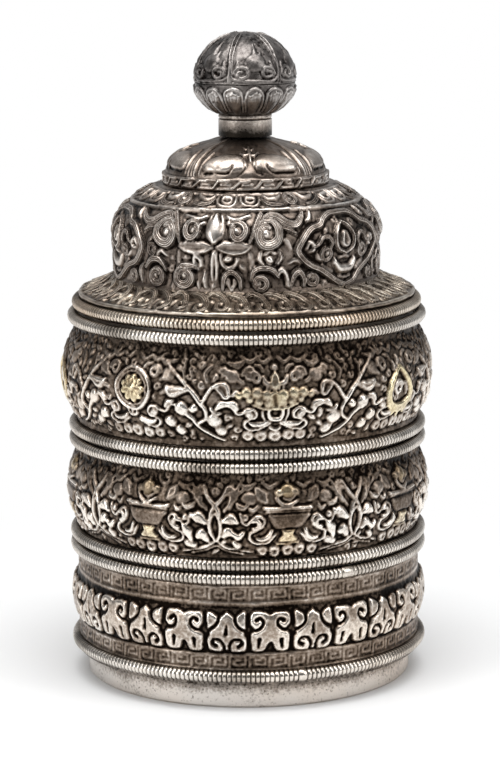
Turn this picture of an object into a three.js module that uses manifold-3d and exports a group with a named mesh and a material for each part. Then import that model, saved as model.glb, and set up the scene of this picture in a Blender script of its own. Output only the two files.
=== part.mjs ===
// Himalayan stacking box in chased sheet silver: a base box, two trays and a domed lid,
// each standing on the spigot of the one below. Millimetres, +Z up, origin at the centre of the foot.
import * as THREE from "three";
import { mergeVertices } from "three/addons/utils/BufferGeometryUtils.js";
import Module from "manifold-3d";

// Driving dimensions: wire, sheet and fits

const WIRE_DIAMETER = 3.4; // the milled wire that every ring is bent from
const SHEET = 0.7; // chased walls and lid
const LINER_SHEET = 0.6; // plain liners and floors
const SPIGOT_RADIUS = 43.4; // outside of a liner, which stands up as the spigot
const SPIGOT_HEIGHT = 3.6; // how far a liner stands above the ring round it
const SPIGOT_CLEARANCE = 0.4; // radial play between a spigot and its socket
const SPIGOT_HEADROOM = 0.4; // between a spigot's edge and the floor above it
const SEAT_GAP = 0.4; // between a tier and the one that it stands on
const SOLDER_GAP = 0.15; // between two pieces that are soldered together

// Driving dimensions: how far outside the socket, or inside a ring's middle, each piece lies

const RING_SPACE = 2.2; // between a socket's outside and the inside of its ring
const FOOT_SPACE = 1.3; // between the liner and the foot band round it
const BASE_WALL_SETBACK = 0.5;
const TRAY_WALL_SETBACK = 0.6;
const LID_RING_SETBACK = 1.3; // the lid's ring is smaller than the others by this at its radius
const FLANGE_SETBACK = 0.5;

// Driving dimensions: heights of the tiers, each from its seat to the top of its upper ring

const BASE_HEIGHT = 38.3;
const MIDDLE_HEIGHT = 29.85;
const UPPER_HEIGHT = 34.0;

// Driving dimensions: the foot and the walls

const FOOT_HEIGHT = 7.9;
const FOOT_EASE = 0.6; // slope at the foot's lower edge
const BOTTOM_SHEET = 1.2;
const FRET_BAND_HEIGHT = 5.0; // key-fret bands above and below the frieze
const FRIEZE_BULGE = 1.5;
const MIDDLE_WALL_BULGE = 2.8;
const UPPER_WALL_BULGE = 4.0;
const WALL_BORDER = 1.6; // plain border at a tray wall's top and bottom

// Driving dimensions: the lid

const FLANGE_WIDTH = 9.6; // from the flange's edge in to the drum
const FLANGE_EDGE = 0.9; // height of the flange's plain upright edge
const FLANGE_BEND_WIDTH = 4.1; // the steeper part of the flange, next to the drum
const FLANGE_BEND_RISE = 2.85; // above the lid ring's top
const DRUM_FOOT_RISE = 5.3; // above the lid ring's top
const SHOULDER_SWELL = 0.5; // how far the drum swells out towards the shoulder
const SHOULDER_RISE = 17.2; // above the lid ring's top
const SHOULDER_CURVE_HEIGHT = 17.9; // half height of the ellipse that the shoulder follows
const CROWN_RADIUS = 23.6;
const CROWN_SEAT_EDGE = 0.8; // flat top of the shoulder that shows round the crown
const CROWN_BAND_HEIGHT = 3.1;
const CROWN_LEDGE = 1.2; // step from the band in to the crown's dome
const CROWN_DOME_HEIGHT = 9.8;

// Driving dimensions: the main forms of the chasing, which stand out from the sheet
// Turns are in degrees round the axis: 0 is the front, and a positive turn goes to the right.

const FORM_EDGE = 0.3; // how far a form's edge stands out
const FORM_CROWN = 0.6; // how far its middle stands out
const FORM_ROOT = 0.4; // how deep it reaches into the sheet
const FORM_SPANS = 4; // flats across a form
const WALL_PANELS = 8;
const WALL_FIRST_PANEL = 8.5; // turn of one panel's middle
const EMBLEM_RISE = 13.7; // middle of an emblem above the wall's foot
const EMBLEM_RADIUS = 5.6;
const PLANT_RISE = 12.0; // middle of the plant between two panels
const PLANT_HALF_WIDTH = 2.6;
const PLANT_HALF_HEIGHT = 5.2;
const RIBBON_TURN = 7.3; // ribbon bends on each side of an emblem
const RIBBON_RISE = 7.4;
const RIBBON_RADIUS = 2.3;
const DRUM_PANELS = 3;
const DRUM_BUD_TURN = -13.4; // turn of one lotus bud, midway between two cartouches
const CARTOUCHE_HALF_WIDTH = 15.5;
const CARTOUCHE_HALF_HEIGHT = 8.2;
const CARTOUCHE_RISE = 11.1; // above the drum's foot
const CARTOUCHE_SPANS = 8;
const BUD_RISE = 16.9;
const BUD_HALF_WIDTH = 1.8;
const BUD_HALF_HEIGHT = 3.4;
const LEAF_TURN = 8.0; // leaf beside the bud
const LEAF_RISE = 12.2;
const LEAF_HALF_WIDTH = 4.3;
const LEAF_HALF_HEIGHT = 1.5;
const SCROLL_TURN = 23.0; // scrolls between the leaf and the cartouche
const SCROLL_RISES = [15.3, 3.5];
const SCROLL_RADIUS = 3.0;

// Driving dimensions: the finial

const COLLAR_RADIUS = 7.4;
const COLLAR_HEIGHT = 4.5;
const BEAD_WIRE = 1.7; // wire of the bead between the collar and the finial
const FINIAL_RADIUS = 14.2;
const FINIAL_SHEET = 0.8;
const BOWL_HEIGHT = 8.5;
const BOWL_PETALS = 12;
const PETAL_NOTCH = 0.6; // depth of the valleys between the bowl's petals
const CAP_HEIGHT = 13.9;

// Steps round the axis, along curves and round the wire

const TURN_STEPS = 42;
const CURVE_STEPS = 5;
const WIRE_SIDES = 8;

const wasm = await Module();
wasm.setup();

const chased = new THREE.MeshStandardMaterial({ color: 0x6b6259, roughness: 0.4, metalness: 1 });
const polished = new THREE.MeshStandardMaterial({ color: 0xb4aca2, roughness: 0.32, metalness: 1 });
const milled = new THREE.MeshStandardMaterial({ color: 0xc9c4bc, roughness: 0.24, metalness: 1 });

const wireRadius = WIRE_DIAMETER / 2;
const socketRadius = SPIGOT_RADIUS + SPIGOT_CLEARANCE;
const ringInnerRadius = socketRadius + LINER_SHEET + RING_SPACE;
const ringCentreRadius = ringInnerRadius + wireRadius;
const lidRingCentreRadius = ringCentreRadius - LID_RING_SETBACK;
const footInnerRadius = SPIGOT_RADIUS + FOOT_SPACE;

// Each seat is the top of the tier below plus the gap between them.
const baseTop = BASE_HEIGHT;
const middleSeat = baseTop + SEAT_GAP;
const middleTop = middleSeat + MIDDLE_HEIGHT;
const upperSeat = middleTop + SEAT_GAP;
const upperTop = upperSeat + UPPER_HEIGHT;
const lidSeat = upperTop + SEAT_GAP;

function piece(name, geometry, material) {
  const mesh = new THREE.Mesh(geometry, material.clone());
  mesh.name = name;
  return mesh;
}

// A closed profile of [radius, height] points, turned round the Z axis.
function turned(profile) {
  const doubledArea = profile.reduce((sum, [r, z], i) => {
    const [nextR, nextZ] = profile[(i + 1) % profile.length];
    return sum + r * nextZ - nextR * z;
  }, 0);
  const ordered = doubledArea > 0 ? profile : [...profile].reverse();
  const points = [...ordered, ordered[0]].map(([r, z]) => new THREE.Vector2(r, z));
  return new THREE.LatheGeometry(points, TURN_STEPS).rotateX(Math.PI / 2);
}

// The profile of a sheet whose outside is the given line, drawn upwards. Bends are mitred,
// and each end is cut level or upright, whichever is nearer to square.
function sheetProfile(line, thickness) {
  const normals = line.slice(1).map(([r, z], i) => {
    const length = Math.hypot(r - line[i][0], z - line[i][1]);
    return [-(z - line[i][1]) / length, (r - line[i][0]) / length];
  });
  const inside = line.map(([r, z], i) => {
    const before = normals[i - 1];
    const after = normals[i];
    if (before && after) {
      const mitre = thickness / (1 + before[0] * after[0] + before[1] * after[1]);
      return [r + (before[0] + after[0]) * mitre, z + (before[1] + after[1]) * mitre];
    }
    const [acrossR, acrossZ] = before ?? after;
    if (Math.abs(acrossR) > Math.abs(acrossZ)) {
      return [r + thickness / acrossR, z];
    }
    return [r, z + thickness / acrossZ];
  });
  return [...line, ...inside.reverse()];
}

// Points up a wall whose radius swells out between its ends and back.
function swellingLine(lowZ, highZ, endRadius, bulge) {
  return Array.from({ length: CURVE_STEPS + 1 }, (_, i) => {
    const t = i / CURVE_STEPS;
    return [endRadius + bulge * 4 * t * (1 - t), lowZ + t * (highZ - lowZ)];
  });
}

// Points along an ellipse about the axis, between two angles above its widest point, in degrees.
function ellipseLine(centreZ, radius, height, fromAngle, toAngle, steps = CURVE_STEPS) {
  return Array.from({ length: steps + 1 }, (_, i) => {
    const angle = THREE.MathUtils.degToRad(fromAngle + (i / steps) * (toAngle - fromAngle));
    return [radius * Math.cos(angle), centreZ + height * Math.sin(angle)];
  });
}

// A ring of round wire, as a polygon with flats at its top, bottom, inside and outside.
function wireRing(centreRadius, centreZ, diameter, sides = WIRE_SIDES) {
  const cornerRadius = diameter / 2 / Math.cos(Math.PI / sides);
  const section = Array.from({ length: sides }, (_, i) => {
    const angle = ((i + 0.5) / sides) * 2 * Math.PI;
    return [centreRadius + cornerRadius * Math.cos(angle), centreZ + cornerRadius * Math.sin(angle)];
  });
  return turned(section);
}

// Draws a turned shape in between the petals, in valleys that run up it.
function petalled(geometry, count, notch) {
  const position = geometry.getAttribute("position");
  const point = new THREE.Vector3();
  for (let i = 0; i < position.count; i += 1) {
    point.fromBufferAttribute(position, i);
    const across = Math.abs(Math.cos((Math.atan2(point.y, point.x) * count) / 2));
    const radius = Math.hypot(point.x, point.y);
    const scale = 1 - (notch * (1 - across)) / FINIAL_RADIUS;
    if (radius > 0) {
      position.setXYZ(i, point.x * scale, point.y * scale, point.z);
    }
  }
  return geometry;
}

// The radius at a height of a line of [radius, height] points, drawn upwards.
function radiusOn(line, z) {
  const i = Math.max(1, line.findIndex(([, pointZ]) => pointZ >= z));
  const [lowR, lowZ] = line[i - 1];
  const [highR, highZ] = line[i];
  return lowR + ((highR - lowR) * (z - lowZ)) / (highZ - lowZ);
}

// A low pillow on a turned surface: an ellipse, or with pointed a leaf, bent to the line's radius.
function raisedForm(line, turn, middleZ, halfWidth, halfHeight, shape = {}) {
  const { pointed = false, spans = FORM_SPANS, rows = 1 } = shape;
  const ups = Array.from({ length: 2 * rows + 1 }, (_, i) => i / rows - 1);
  const section = 2 * ups.length;
  const corners = [];
  for (let i = 0; i <= spans; i += 1) {
    const across = -Math.cos((i / spans) * Math.PI);
    const reach = pointed ? 1 - Math.abs(across) : Math.sqrt(Math.max(0, 1 - across * across));
    const angle = THREE.MathUtils.degToRad(turn) + (across * halfWidth) / radiusOn(line, middleZ);
    const place = (up, proud) => {
      const z = middleZ + up * reach * halfHeight;
      const radius = radiusOn(line, z) + proud;
      corners.push(radius * Math.sin(angle), -radius * Math.cos(angle), z);
    };
    for (const up of ups) {
      place(up, FORM_EDGE + (FORM_CROWN - FORM_EDGE) * reach * (1 - Math.abs(up)));
    }
    for (const up of [...ups].reverse()) {
      place(up, -FORM_ROOT);
    }
  }
  const faces = [];
  for (let i = 0; i < spans; i += 1) {
    for (let k = 0; k < section; k += 1) {
      const a = i * section + k;
      const b = i * section + ((k + 1) % section);
      faces.push(a, a + section, b, b, a + section, b + section);
    }
  }
  const geometry = new THREE.BufferGeometry();
  geometry.setAttribute("position", new THREE.Float32BufferAttribute(corners, 3));
  geometry.setIndex(faces);
  return geometry;
}

function solidOf(geometry) {
  const bare = geometry.clone();
  bare.deleteAttribute("normal");
  bare.deleteAttribute("uv");
  const merged = mergeVertices(bare, 1e-3);
  const index = merged.getIndex().array;
  const kept = [];
  for (let i = 0; i < index.length; i += 3) {
    const [a, b, c] = [index[i], index[i + 1], index[i + 2]];
    if (a !== b && b !== c && c !== a) {
      kept.push(a, b, c);
    }
  }
  const vertProperties = new Float32Array(merged.getAttribute("position").array);
  return new wasm.Manifold(new wasm.Mesh({ numProp: 3, vertProperties, triVerts: new Uint32Array(kept) }));
}

// A turned sheet with its forms joined to it.
function withForms(sheet, forms) {
  const joined = forms.reduce((whole, form) => whole.add(solidOf(form)), solidOf(sheet));
  const { vertProperties, triVerts } = joined.getMesh();
  const geometry = new THREE.BufferGeometry();
  geometry.setAttribute("position", new THREE.Float32BufferAttribute(vertProperties, 3));
  geometry.setIndex(new THREE.Uint32BufferAttribute(triVerts, 1));
  geometry.computeVertexNormals();
  return geometry;
}

// A plain sleeve whose top stands up as the spigot, with a ledge out to the upper ring.
function linerGeometry(bottomZ, topZ) {
  const inside = SPIGOT_RADIUS - LINER_SHEET;
  const ledgeOutside = ringInnerRadius - SOLDER_GAP;
  const ledgeZ = topZ - wireRadius;
  const profile = [
    [inside, bottomZ],
    [SPIGOT_RADIUS, bottomZ],
    [SPIGOT_RADIUS, ledgeZ - LINER_SHEET],
    [ledgeOutside, ledgeZ - LINER_SHEET],
    [ledgeOutside, ledgeZ],
    [SPIGOT_RADIUS, ledgeZ],
    [SPIGOT_RADIUS, topZ + SPIGOT_HEIGHT],
    [inside, topZ + SPIGOT_HEIGHT],
  ];
  return turned(profile);
}

// The foot band, with a lip turned out at its top to carry the lower ring.
function footGeometry() {
  const outside = footInnerRadius + SHEET;
  return turned([
    [footInnerRadius, 0],
    [outside - FOOT_EASE, 0],
    [outside, FOOT_EASE],
    [outside, FOOT_HEIGHT - SHEET],
    [ringCentreRadius, FOOT_HEIGHT - SHEET],
    [ringCentreRadius, FOOT_HEIGHT],
    [footInnerRadius, FOOT_HEIGHT],
  ]);
}

function bottomGeometry() {
  const radius = footInnerRadius - SOLDER_GAP;
  return turned([
    [0, 0],
    [radius, 0],
    [radius, BOTTOM_SHEET],
    [0, BOTTOM_SHEET],
  ]);
}

// Two straight key-fret bands with the swelling frieze between them.
function baseWallGeometry() {
  const radius = ringCentreRadius - BASE_WALL_SETBACK;
  const lowZ = FOOT_HEIGHT + WIRE_DIAMETER;
  const highZ = baseTop - WIRE_DIAMETER;
  const frieze = swellingLine(lowZ + FRET_BAND_HEIGHT, highZ - FRET_BAND_HEIGHT, radius, FRIEZE_BULGE);
  return turned(sheetProfile([[radius, lowZ], ...frieze, [radius, highZ]], SHEET));
}

function baseBox() {
  const group = new THREE.Group();
  const lowerRingZ = FOOT_HEIGHT + wireRadius;
  const upperRingZ = baseTop - wireRadius;
  group.add(
    piece("foot_band", footGeometry(), polished),
    piece("bottom_plate", bottomGeometry(), polished),
    piece("base_lower_ring", wireRing(ringCentreRadius, lowerRingZ, WIRE_DIAMETER), milled),
    piece("base_wall", baseWallGeometry(), chased),
    piece("base_upper_ring", wireRing(ringCentreRadius, upperRingZ, WIRE_DIAMETER), milled),
    piece("base_liner", linerGeometry(BOTTOM_SHEET + SOLDER_GAP, baseTop), polished),
  );
  return group;
}

// A raised floor over the spigot below, with a skirt that sockets round the spigot
// and a lip turned out to the lower ring.
function floorGeometry(seatZ) {
  const floorZ = seatZ - SEAT_GAP + SPIGOT_HEIGHT + SPIGOT_HEADROOM;
  const lipZ = seatZ + wireRadius;
  const lipOutside = ringInnerRadius - SOLDER_GAP;
  const skirtOutside = socketRadius + LINER_SHEET;
  const profile = [
    [0, floorZ],
    [socketRadius, floorZ],
    [socketRadius, lipZ],
    [lipOutside, lipZ],
    [lipOutside, lipZ + LINER_SHEET],
    [skirtOutside, lipZ + LINER_SHEET],
    [skirtOutside, floorZ + LINER_SHEET],
    [0, floorZ + LINER_SHEET],
  ];
  return turned(profile);
}

// A swelling wall with a plain straight border at each end.
function trayWallLine(lowZ, highZ, bulge) {
  const radius = ringCentreRadius - TRAY_WALL_SETBACK;
  const swell = swellingLine(lowZ + WALL_BORDER, highZ - WALL_BORDER, radius, bulge);
  return [[radius, lowZ], ...swell, [radius, highZ]];
}

// The emblems of the upper tray's wall, the ribbon bends beside them and the plants between them.
function wallForms(line) {
  const footZ = line[0][1];
  const pitch = 360 / WALL_PANELS;
  return Array.from({ length: WALL_PANELS }, (_, i) => WALL_FIRST_PANEL + i * pitch).flatMap((turn) => [
    raisedForm(line, turn, footZ + EMBLEM_RISE, EMBLEM_RADIUS, EMBLEM_RADIUS),
    raisedForm(line, turn - RIBBON_TURN, footZ + RIBBON_RISE, RIBBON_RADIUS, RIBBON_RADIUS),
    raisedForm(line, turn + RIBBON_TURN, footZ + RIBBON_RISE, RIBBON_RADIUS, RIBBON_RADIUS),
    raisedForm(line, turn + pitch / 2, footZ + PLANT_RISE, PLANT_HALF_WIDTH, PLANT_HALF_HEIGHT),
  ]);
}

function tray(tier, seatZ, topZ, bulge, forms = () => []) {
  const group = new THREE.Group();
  const wallLine = trayWallLine(seatZ + WIRE_DIAMETER, topZ - WIRE_DIAMETER, bulge);
  const wall = withForms(turned(sheetProfile(wallLine, SHEET)), forms(wallLine));
  const floorTopZ = seatZ - SEAT_GAP + SPIGOT_HEIGHT + SPIGOT_HEADROOM + LINER_SHEET;
  group.add(
    piece(`${tier}_lower_ring`, wireRing(ringCentreRadius, seatZ + wireRadius, WIRE_DIAMETER), milled),
    piece(`${tier}_floor`, floorGeometry(seatZ), polished),
    piece(`${tier}_wall`, wall, chased),
    piece(`${tier}_upper_ring`, wireRing(ringCentreRadius, topZ - wireRadius, WIRE_DIAMETER), milled),
    piece(`${tier}_liner`, linerGeometry(floorTopZ + SOLDER_GAP, topZ), polished),
  );
  return group;
}

function lid() {
  const group = new THREE.Group();
  const ringTopZ = lidSeat + WIRE_DIAMETER;
  const shoulderZ = ringTopZ + SHOULDER_RISE;
  const drumRadius = lidRingCentreRadius - FLANGE_SETBACK - FLANGE_WIDTH;
  const shoulderRadius = drumRadius + SHOULDER_SWELL;
  const shoulderEnd = Math.acos((CROWN_RADIUS + CROWN_SEAT_EDGE) / shoulderRadius);
  const crownSeatZ = shoulderZ + SHOULDER_CURVE_HEIGHT * Math.sin(shoulderEnd);
  const crownBandTopZ = crownSeatZ + SOLDER_GAP + CROWN_BAND_HEIGHT;
  const collarSeatZ = crownBandTopZ + CROWN_DOME_HEIGHT + SOLDER_GAP;
  const beadZ = collarSeatZ + COLLAR_HEIGHT + BEAD_WIRE / 2;
  const seamZ = beadZ + BEAD_WIRE / 2 + BOWL_HEIGHT;
  group.add(
    piece("lid_ring", wireRing(lidRingCentreRadius, lidSeat + wireRadius, WIRE_DIAMETER), milled),
    piece("lid_socket", socketGeometry(ringTopZ - SOLDER_GAP), polished),
    piece("lid_drum", drumGeometry(ringTopZ, shoulderZ, drumRadius, shoulderEnd), chased),
    piece("lid_crown", crownGeometry(crownSeatZ + SOLDER_GAP, crownBandTopZ), chased),
    piece("finial_collar", collarGeometry(collarSeatZ), polished),
    piece("finial_bead", wireRing(COLLAR_RADIUS - BEAD_WIRE / 2, beadZ, BEAD_WIRE), milled),
    piece("finial_bowl", bowlGeometry(seamZ), chased),
    piece("finial_cap", capGeometry(seamZ + SOLDER_GAP), chased),
  );
  return group;
}

// The sleeve under the lid's flange that goes down round the upper tray's spigot.
function socketGeometry(topZ) {
  const profile = [
    [socketRadius, lidSeat],
    [socketRadius + LINER_SHEET, lidSeat],
    [socketRadius + LINER_SHEET, topZ],
    [socketRadius, topZ],
  ];
  return turned(profile);
}

// The lid's flange, drum and shoulder, raised from one sheet, with a flat top under the crown.
function drumGeometry(ringTopZ, shoulderZ, drumRadius, shoulderEnd) {
  const drumFootZ = ringTopZ + DRUM_FOOT_RISE;
  const endAngle = THREE.MathUtils.radToDeg(shoulderEnd);
  const line = [
    [lidRingCentreRadius - FLANGE_SETBACK, ringTopZ + FLANGE_EDGE],
    [drumRadius + FLANGE_BEND_WIDTH, ringTopZ + FLANGE_BEND_RISE],
    [drumRadius, drumFootZ],
    [drumRadius, (drumFootZ + shoulderZ) / 2],
    ...ellipseLine(shoulderZ, drumRadius + SHOULDER_SWELL, SHOULDER_CURVE_HEIGHT, 0, endAngle),
  ];
  const topZ = line.at(-1)[1];
  const inside = sheetProfile(line, SHEET).slice(line.length + 1);
  const sheet = turned([...line, [0, topZ], [0, topZ - SHEET], ...inside]);
  return withForms(sheet, drumForms(line, drumFootZ));
}

// The drum's cartouches, the lotus buds midway between them, and the leaves and scrolls on each side.
function drumForms(line, footZ) {
  const pitch = 360 / DRUM_PANELS;
  const leaf = { pointed: true };
  const cartouche = { pointed: true, spans: CARTOUCHE_SPANS, rows: 3 };
  const cartoucheZ = footZ + CARTOUCHE_RISE;
  const scroll = (turn, rise) => raisedForm(line, turn, footZ + rise, SCROLL_RADIUS, SCROLL_RADIUS);
  return Array.from({ length: DRUM_PANELS }, (_, i) => DRUM_BUD_TURN + i * pitch).flatMap((turn) => [
    raisedForm(line, turn, footZ + BUD_RISE, BUD_HALF_WIDTH, BUD_HALF_HEIGHT),
    raisedForm(line, turn + pitch / 2, cartoucheZ, CARTOUCHE_HALF_WIDTH, CARTOUCHE_HALF_HEIGHT, cartouche),
    ...[-1, 1].flatMap((side) => [
      raisedForm(line, turn + side * LEAF_TURN, footZ + LEAF_RISE, LEAF_HALF_WIDTH, LEAF_HALF_HEIGHT, leaf),
      ...SCROLL_RISES.map((rise) => scroll(turn + side * SCROLL_TURN, rise)),
    ]),
  ]);
}

// A short key-fret band with a flattened dome above it, open underneath.
function crownGeometry(seatZ, bandTopZ) {
  const domeRadius = CROWN_RADIUS - CROWN_LEDGE;
  const endAngle = THREE.MathUtils.radToDeg(Math.acos(COLLAR_RADIUS / domeRadius));
  const line = [
    [CROWN_RADIUS, seatZ],
    [CROWN_RADIUS, bandTopZ],
    ...ellipseLine(bandTopZ, domeRadius, CROWN_DOME_HEIGHT, 0, endAngle),
    [0, bandTopZ + CROWN_DOME_HEIGHT],
  ];
  return turned(sheetProfile(line, SHEET));
}

function collarGeometry(seatZ) {
  return turned([
    [0, seatZ],
    [COLLAR_RADIUS, seatZ],
    [COLLAR_RADIUS, seatZ + COLLAR_HEIGHT],
    [0, seatZ + COLLAR_HEIGHT],
  ]);
}

// The finial's lower half: a lotus bowl of upright petals.
function bowlGeometry(seamZ) {
  const neckAngle = THREE.MathUtils.radToDeg(Math.acos(COLLAR_RADIUS / FINIAL_RADIUS));
  const curveHeight = BOWL_HEIGHT / Math.sin(THREE.MathUtils.degToRad(neckAngle));
  const line = [
    [0, seamZ - BOWL_HEIGHT],
    ...ellipseLine(seamZ, FINIAL_RADIUS, curveHeight, -neckAngle, 0),
  ];
  return petalled(turned(sheetProfile(line, FINIAL_SHEET)), BOWL_PETALS, PETAL_NOTCH);
}

// The finial's upper half, a tall dome that closes over the bowl.
function capGeometry(seamZ) {
  return turned(sheetProfile(ellipseLine(seamZ, FINIAL_RADIUS, CAP_HEIGHT, 0, 90, 8), FINIAL_SHEET));
}

const stackingBox = new THREE.Group();
stackingBox.add(
  baseBox(),
  tray("middle", middleSeat, middleTop, MIDDLE_WALL_BULGE),
  tray("upper", upperSeat, upperTop, UPPER_WALL_BULGE, wallForms),
  lid(),
);

export default stackingBox;
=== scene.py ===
# %% [markdown]
# A Himalayan stacking box of chased sheet silver, about 18 cm high: a base box, two trays and a domed lid.
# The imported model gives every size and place. This script dresses it: each plain wall becomes a chased
# one, each ring becomes milled wire, and every surface gets its silver, from oxidised ground to worn highs.

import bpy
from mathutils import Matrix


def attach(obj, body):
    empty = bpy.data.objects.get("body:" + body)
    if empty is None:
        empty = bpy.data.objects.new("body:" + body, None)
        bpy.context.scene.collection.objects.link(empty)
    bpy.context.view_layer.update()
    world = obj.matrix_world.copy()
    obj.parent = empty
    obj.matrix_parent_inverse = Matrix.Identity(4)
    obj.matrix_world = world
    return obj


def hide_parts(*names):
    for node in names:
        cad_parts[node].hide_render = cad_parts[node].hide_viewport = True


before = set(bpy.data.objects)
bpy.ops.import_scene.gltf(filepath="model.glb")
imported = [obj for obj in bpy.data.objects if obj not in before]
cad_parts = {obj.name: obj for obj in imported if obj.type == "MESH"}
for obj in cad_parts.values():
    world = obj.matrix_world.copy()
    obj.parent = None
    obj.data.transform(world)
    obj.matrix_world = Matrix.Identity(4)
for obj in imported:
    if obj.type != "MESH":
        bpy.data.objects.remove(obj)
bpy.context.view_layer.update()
print("pieces in the frame:", len(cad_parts))

# %% [markdown]
# Lengths are written in millimetres, because a silversmith would measure them so, and MM turns them into
# Blender's metres. Heights and radii are read from the frame. A turn is an angle round the box in degrees:
# 0 faces the viewer and a positive turn goes to the right.

# %% Imports and sizes read from the frame
import math

import bmesh
import bpy
import numpy as np
from mathutils import Matrix, Vector

MM = 0.001


def node_points(node):
    """The corners of a node of the frame, as radius and height in millimetres."""
    points = np.array([vertex.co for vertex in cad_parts[node].data.vertices]) / MM
    return np.hypot(points[:, 0], points[:, 1]), points[:, 2]


def node_radius(node):
    return float(node_points(node)[0].max())


def node_heights(node):
    heights = node_points(node)[1]
    return float(heights.min()), float(heights.max())


for tier in ("base", "middle", "upper"):
    low, high = node_heights(f"{tier}_wall")
    print(f"{tier} wall: {low:.1f} to {high:.1f} mm, widest radius {node_radius(f'{tier}_wall'):.1f} mm")

# %% [markdown]
# Chasing is drawn on a flattened band: a grid of heights, with the turn across and the way up the sheet's
# outside line as its other side. A stroke of the punch is a line of given points, smoothed, with its
# own half width along the way and a section across it. Strokes are joined by keeping the higher one, as
# raised metal would be, and a cut lowers what is there. The grid has one cell to each vertex of the mesh.


# %% Sections across a stroke
# Each gives the share of the stroke's height at q, from 0 on its middle line to 1 at its edge.
def domed(q):
    return np.sqrt(np.clip(1 - q**2, 0, None))


def flat_topped(q):
    return 1 - np.clip((q - 0.6) / 0.4, 0, 1) ** 2


def hollowed(q):
    """Two edges with a sunk middle."""
    return flat_topped(q) * (0.3 + 0.7 * np.clip(q / 0.7, 0, 1) ** 2)


def veined(q):
    """A dome with a line down its middle."""
    return domed(q) * (1 - 0.45 * np.exp(-((q / 0.16) ** 2)))


def combed(q):
    """A broad low dome that the finish draws fine lines along, like combed waves."""
    return domed(q) ** 0.6


print(f"the middle of a hollowed stroke stands at {hollowed(0.0):.1f} of its edges' height")

# %% [markdown]
# A punch is walked along a line, so a stroke's few points are joined by a smooth curve through them. The
# hand strays a little from the pattern, by a drift that depends only on the place.


# %% A stroke's line
def smooth_line(points, widths, steps=4):
    """A smooth curve through the points, with its half width at each step."""
    points = np.array(points, float)
    widths = np.atleast_1d(widths)
    widths = np.interp(np.linspace(0, 1, len(points)), np.linspace(0, 1, len(widths)), widths)
    if len(points) < 3:
        return points, widths
    padded = np.vstack([2 * points[0] - points[1], points, 2 * points[-1] - points[-2]])
    line, line_widths = [], []
    for i in range(len(points) - 1):
        a, b, c, d = padded[i : i + 4]
        for t in np.arange(steps) / steps:
            place = 2 * b + (c - a) * t
            place = place + (2 * a - 5 * b + 4 * c - d) * t**2
            place = place + (3 * b - a - 3 * c + d) * t**3
            line.append(0.5 * place)
            line_widths.append(widths[i] + (widths[i + 1] - widths[i]) * t)
    line.append(points[-1])
    line_widths.append(widths[-1])
    return np.array(line), np.array(line_widths)


def hand_drift(turn, rise):
    """How far the hand strays from the pattern, in millimetres, so that no two panels are alike."""
    across = 0.13 * np.sin(0.61 * turn + 0.35 * rise) + 0.09 * np.sin(0.23 * turn - 0.8 * rise + 2)
    up = 0.12 * np.sin(0.47 * turn + 1.1) + 0.08 * np.sin(0.29 * turn + 0.9 * rise)
    return across, up


drifts = [math.hypot(*hand_drift(turn, 10.0)) for turn in range(-180, 180)]
print(f"the hand strays by {max(drifts):.2f} mm at most, 10 mm above a wall's foot")

# %% [markdown]
# The band knows how its cells lie: across in millimetres at one radius, and up along the sheet. Only the
# cells near a stroke are changed. Beside the heights it keeps what the finish needs: where the gilding is,
# where lines are combed, which spots stay dull (on a wall's upper part also painted shade), and which rows
# get painted shade under a ring.


# %% The band that strokes are chased on
TINY = 1e-9
FAR = 9.0
COMB_SPACING = 0.5


def pieces_of(line, grid_x, grid_y):
    """For each piece of a line: its number, how far along it each cell lies, and how far away."""
    for i, ((x0, y0), (x1, y1)) in enumerate(zip(line, line[1:])):
        step_x, step_y = x1 - x0, y1 - y0
        squared = max(step_x**2 + step_y**2, TINY)
        t = np.clip(((grid_x - x0) * step_x + (grid_y - y0) * step_y) / squared, 0, 1)
        yield i, t, np.hypot(grid_x - x0 - t * step_x, grid_y - y0 - t * step_y)


def at_turn(turn, points, side=1):
    """Points drawn from a middle line, put at that line's turn, and mirrored for side -1."""
    return [(turn + side * away, rise) for away, rise in points]


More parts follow.
